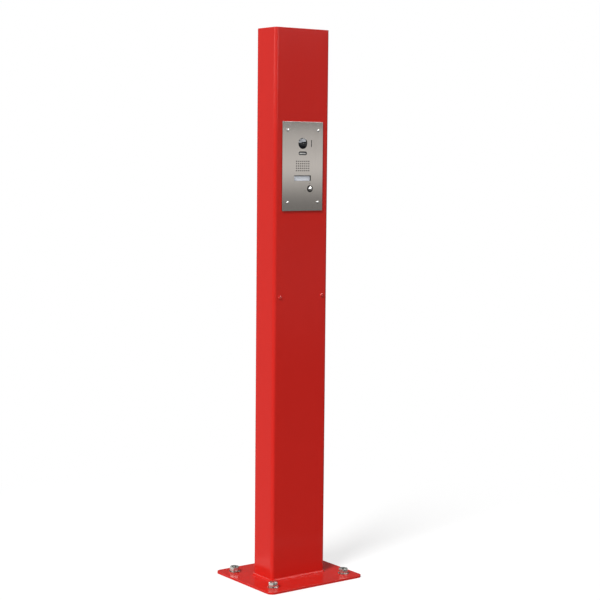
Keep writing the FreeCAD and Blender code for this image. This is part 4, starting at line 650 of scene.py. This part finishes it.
nut_low, nut_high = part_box("anchor_nuts")
nut_flats, nut_edge, nut_sink = 0.024, 0.00022, 0.0009
thread_radius, thread_play, thread_pitch, thread_depth = 0.0078, 0.0001, 0.002, 0.0010
tall = nut_high.z - nut_low.z
corner = nut_flats / math.sqrt(3)
past_corner, face_radius, bore = corner * 1.02, nut_flats * 0.474, thread_radius + thread_play
slope = (past_corner - face_radius) * math.tan(math.radians(30))
nut = turned([(0, 0), (corner, 0), (corner, tall), (0, tall)], sides=6)
rounding = turned([(0, 0), (face_radius, 0), (past_corner, slope), (past_corner, tall - slope),
                   (face_radius, tall), (0, tall)], sides=72)
drill = turned([(0, -nut_sink), (bore + 2 * nut_sink, -nut_sink), (bore, nut_sink), (bore, tall - nut_sink),
                (bore + 2 * nut_sink, tall + nut_sink), (0, tall + nut_sink)])
soften(combine(combine(nut, rounding, "INTERSECT"), drill), nut_edge, angle=24)
hexagon_start, nut_turns = 30, (-6, -15, -8, 22)
nut_angles = [(0, 0, math.radians(hexagon_start + turn)) for turn in nut_turns]
settle_all(copies(nut, anchor_spots(nut_low.z), nut_angles), "anchor_nut",
           zinc, "post", "zinc_steel", "anchor_nuts", angle=28)

stud_low, stud_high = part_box("anchor_studs")
stud_radius, neck_radius, thread_root = 0.008, 0.006, thread_radius - thread_depth
cone_top, neck_top, shank_top = stud_low.z + 0.012, stud_low.z + 0.034, -0.0005
crest_start, crest_end = 0.45, 0.55
thread = []
level = shank_top
while level < stud_high.z - thread_pitch:
    thread += [(thread_root, level), (thread_radius, level + thread_pitch * crest_start),
               (thread_radius, level + thread_pitch * crest_end)]
    level += thread_pitch
stud = turned([(0, stud_low.z), (stud_radius, stud_low.z), (neck_radius, cone_top), (neck_radius, neck_top),
               (stud_radius, neck_top), (stud_radius, shank_top)] + thread +
              [(thread_root, level), (thread_root, stud_high.z), (0, stud_high.z)], sides=36)
settle_all(copies(stud, anchor_spots(0)), "anchor_stud",
           zinc, "post", "zinc_steel", "anchor_studs", angle=30)
dress(zinc, "anchor_sleeves")


# Studio. A white floor that keeps the post's soft shadow and fades into a white background, sunlight
# from the left, a soft light behind, cards that only glossy surfaces mirror, and the photograph's
# view. Heights of the cards' bright bands are in metres above the floor.
floor_radius, floor_drop, fade_start, fade_end = 14, 0.0003, 0.35, 1.5
mirrored_white, mirrored_lift, seen_lift = 0.6, 0.27, 0.67
floor_grey, dim_grey = rgb(0.36, 0.36, 0.36), rgb(0.5, 0.5, 0.5)
full_white = rgb(1, 1, 1)


def light_path(wire, *kinds):
    """1 for a ray of any of these kinds."""
    total = 0
    for kind in kinds:
        total = wire.node("ShaderNodeLightPath", output=f"Is {kind} Ray").larger(total)
    return total


clear_selection()
bpy.ops.mesh.primitive_circle_add(vertices=96, radius=floor_radius, location=(0, 0, -floor_drop),
                                  fill_type="NGON")
floor = bpy.context.object
floor.name = "floor"
floor_paint = bpy.data.materials.new("floor_paint")
floor_paint.use_nodes = True
floor_paint.node_tree.nodes.clear()
wire = Wire(floor_paint.node_tree)
spot = wire.node("ShaderNodeTexCoord", output="Object")
away = wire.node("ShaderNodeVectorMath", {"operation": "LENGTH"}, {0: spot}, output="Value")
far = away.between(fade_start, fade_end)
seen = light_path(wire, "Camera")
far_floor = wire.node("ShaderNodeEmission", {},
                      {"Color": full_white, "Strength": mirrored_white + (1 - mirrored_white) * seen})
lift = wire.node("ShaderNodeEmission", {},
                 {"Color": full_white, "Strength": mirrored_lift + (seen_lift - mirrored_lift) * seen})
matt = wire.node("ShaderNodeBsdfDiffuse", {}, {"Color": floor_grey})
near_floor = wire.node("ShaderNodeAddShader", {}, {0: matt, 1: lift})
shown = wire.node("ShaderNodeMixShader", {}, {0: far, 1: near_floor, 2: far_floor})
dim = wire.node("ShaderNodeBsdfDiffuse", {}, {"Color": dim_grey})
surface = wire.node("ShaderNodeMixShader", {},
                    {0: light_path(wire, "Camera", "Glossy", "Transmission"), 1: dim, 2: shown})
wire.node("ShaderNodeOutputMaterial", {}, {"Surface": surface})
floor.data.materials.append(floor_paint)

world = bpy.data.worlds.new("studio")
bpy.context.scene.world = world
world.use_nodes = True
world.node_tree.nodes.clear()
wire = Wire(world.node_tree)
ambient, ceiling, far_wall = 0.30, 0.12, 0.6
wall_top, wall_full = math.sin(math.radians(10.5)), math.sin(math.radians(7))
height = wire.node("ShaderNodeTexCoord", output="Generated").part("Z")
wall = ceiling + (far_wall - ceiling) * height.between(wall_top, wall_full)
mirrored = light_path(wire, "Glossy", "Transmission")
lit = mirrored * wall + (1 - mirrored) * ambient
sky = wire.node("ShaderNodeBackground", {},
                {"Color": full_white, "Strength": light_path(wire, "Camera").larger(lit)})
wire.node("ShaderNodeOutputWorld", {}, {"Surface": sky})


def place_light(name, kind, spot, target, energy, **sizes):
    lamp = bpy.data.lights.new(name, kind)
    lamp.energy = energy
    for key, size in sizes.items():
        setattr(lamp, key, size)
    holder = bpy.data.objects.new(name, lamp)
    bpy.context.collection.objects.link(holder)
    holder.location = spot
    holder.rotation_euler = (Vector(target) - Vector(spot)).to_track_quat("-Z", "Y").to_euler()
    holder.visible_camera = False


def glowing_card(name, middle, width, tall, glow, tint=rgb(1.0, 0.97, 0.94), lean=90):
    """A card that shows only in glossy surfaces, upright at a lean of 90 and flat at 0. Its broad side
    faces the post. Its brightness is a number, or a function of the height above the floor."""
    clear_selection()
    bpy.ops.mesh.primitive_plane_add(size=1, location=middle,
                                     rotation=(math.radians(lean), 0, math.atan2(middle[0], -middle[1])))
    card = bpy.context.object
    card.name = name
    card.scale = (width, tall, 1)
    card.visible_camera = card.visible_diffuse = card.visible_shadow = card.visible_transmission = False
    paint = bpy.data.materials.new(name)
    paint.use_nodes = True
    paint.node_tree.nodes.clear()
    wire = Wire(paint.node_tree)
    strength = glow(wire.node("ShaderNodeNewGeometry", output="Position").part("Z")) if callable(glow) else glow
    shine = wire.node("ShaderNodeEmission", {}, {"Color": tint, "Strength": strength})
    wire.node("ShaderNodeOutputMaterial", {}, {"Surface": shine})
    card.data.materials.append(paint)


sun_rise, sun_swing, sun_away = math.radians(41), math.radians(24), 8
sun_level = sun_away * math.cos(sun_rise)
place_light("left_window", "SUN",
            (-sun_level * math.cos(sun_swing), -sun_level * math.sin(sun_swing), sun_away * math.sin(sun_rise)),
            (0, 0, 0), energy=3.2, angle=math.radians(20))
place_light("back_light", "AREA", (0, 4.4, 3.2), (0, 0, 0.8), energy=45,
            shape="RECTANGLE", size=2.0, size_y=2.4)

daylight = rgb(0.92, 0.95, 1.0)
glowing_card("near_wall", (1.76, -2.46, 1.13), 3.2, 0.62,
             lambda z: (0.27 + 0.50 * z.between(0.93, 1.09) - 0.48 * z.between(1.26, 1.35)
                        + 0.20 * z.between(1.04, 1.12) * z.between(1.24, 1.12)))
glowing_card("high_window", (5.28, -7.28, 4.5), 8.6, 5.4,
             lambda z: 8.0 * z.between(2.35, 2.8) * z.between(7.0, 5.0), daylight)
glowing_card("front_pane", (0.69, -3.94, 1.85), 1.7, 1.3,
             lambda z: 7.0 * z.between(1.36, 1.52) * z.between(2.5, 2.2), daylight)
glowing_card("left_pane", (-4.6, -2.6, 2.4), 3.2, 3.6, lambda z: 2.6 * z.between(0.9, 1.7))
glowing_card("side_pane", (-4.17, 1.69, 2.1), 2.4, 2.0, lambda z: 6.5 * z.between(1.15, 1.8))
glowing_card("ceiling_panel", (2.1, -1.0, 2.9), 2.2, 1.6, 6.0, lean=40)
glowing_card("dark_mat", (1.9, -2.65, 0.002), 7.0, 5.6, 0.13, lean=0)
glowing_card("left_strip", (-0.218, 0, 0.001), 0.38, 0.10, 1.25, lean=0)
glowing_card("front_strip", (0, -0.25, 0.001), 0.56, 0.20, 0.15, lean=0)

view = bpy.data.cameras.new("view")
view.sensor_width = 36
view.lens = 90.562
camera = bpy.data.objects.new("view", view)
bpy.context.collection.objects.link(camera)
eye = (-2.427684, -3.350312, 1.163873)
yaw, pitch, roll = (math.radians(turn) for turn in (36.2658, 5.3922, 0.5181))
forward = Vector((math.sin(yaw) * math.cos(pitch), math.cos(yaw) * math.cos(pitch), -math.sin(pitch)))
right = Vector((math.cos(yaw), -math.sin(yaw), 0))
up = right.cross(forward)
turned_right = math.cos(roll) * right + math.sin(roll) * up
turned_up = -math.sin(roll) * right + math.cos(roll) * up
aim = Matrix((turned_right, turned_up, -forward)).transposed().to_4x4()
camera.matrix_world = Matrix.Translation(eye) @ aim
bpy.context.scene.camera = camera
bpy.context.scene.view_settings.view_transform = "Standard"
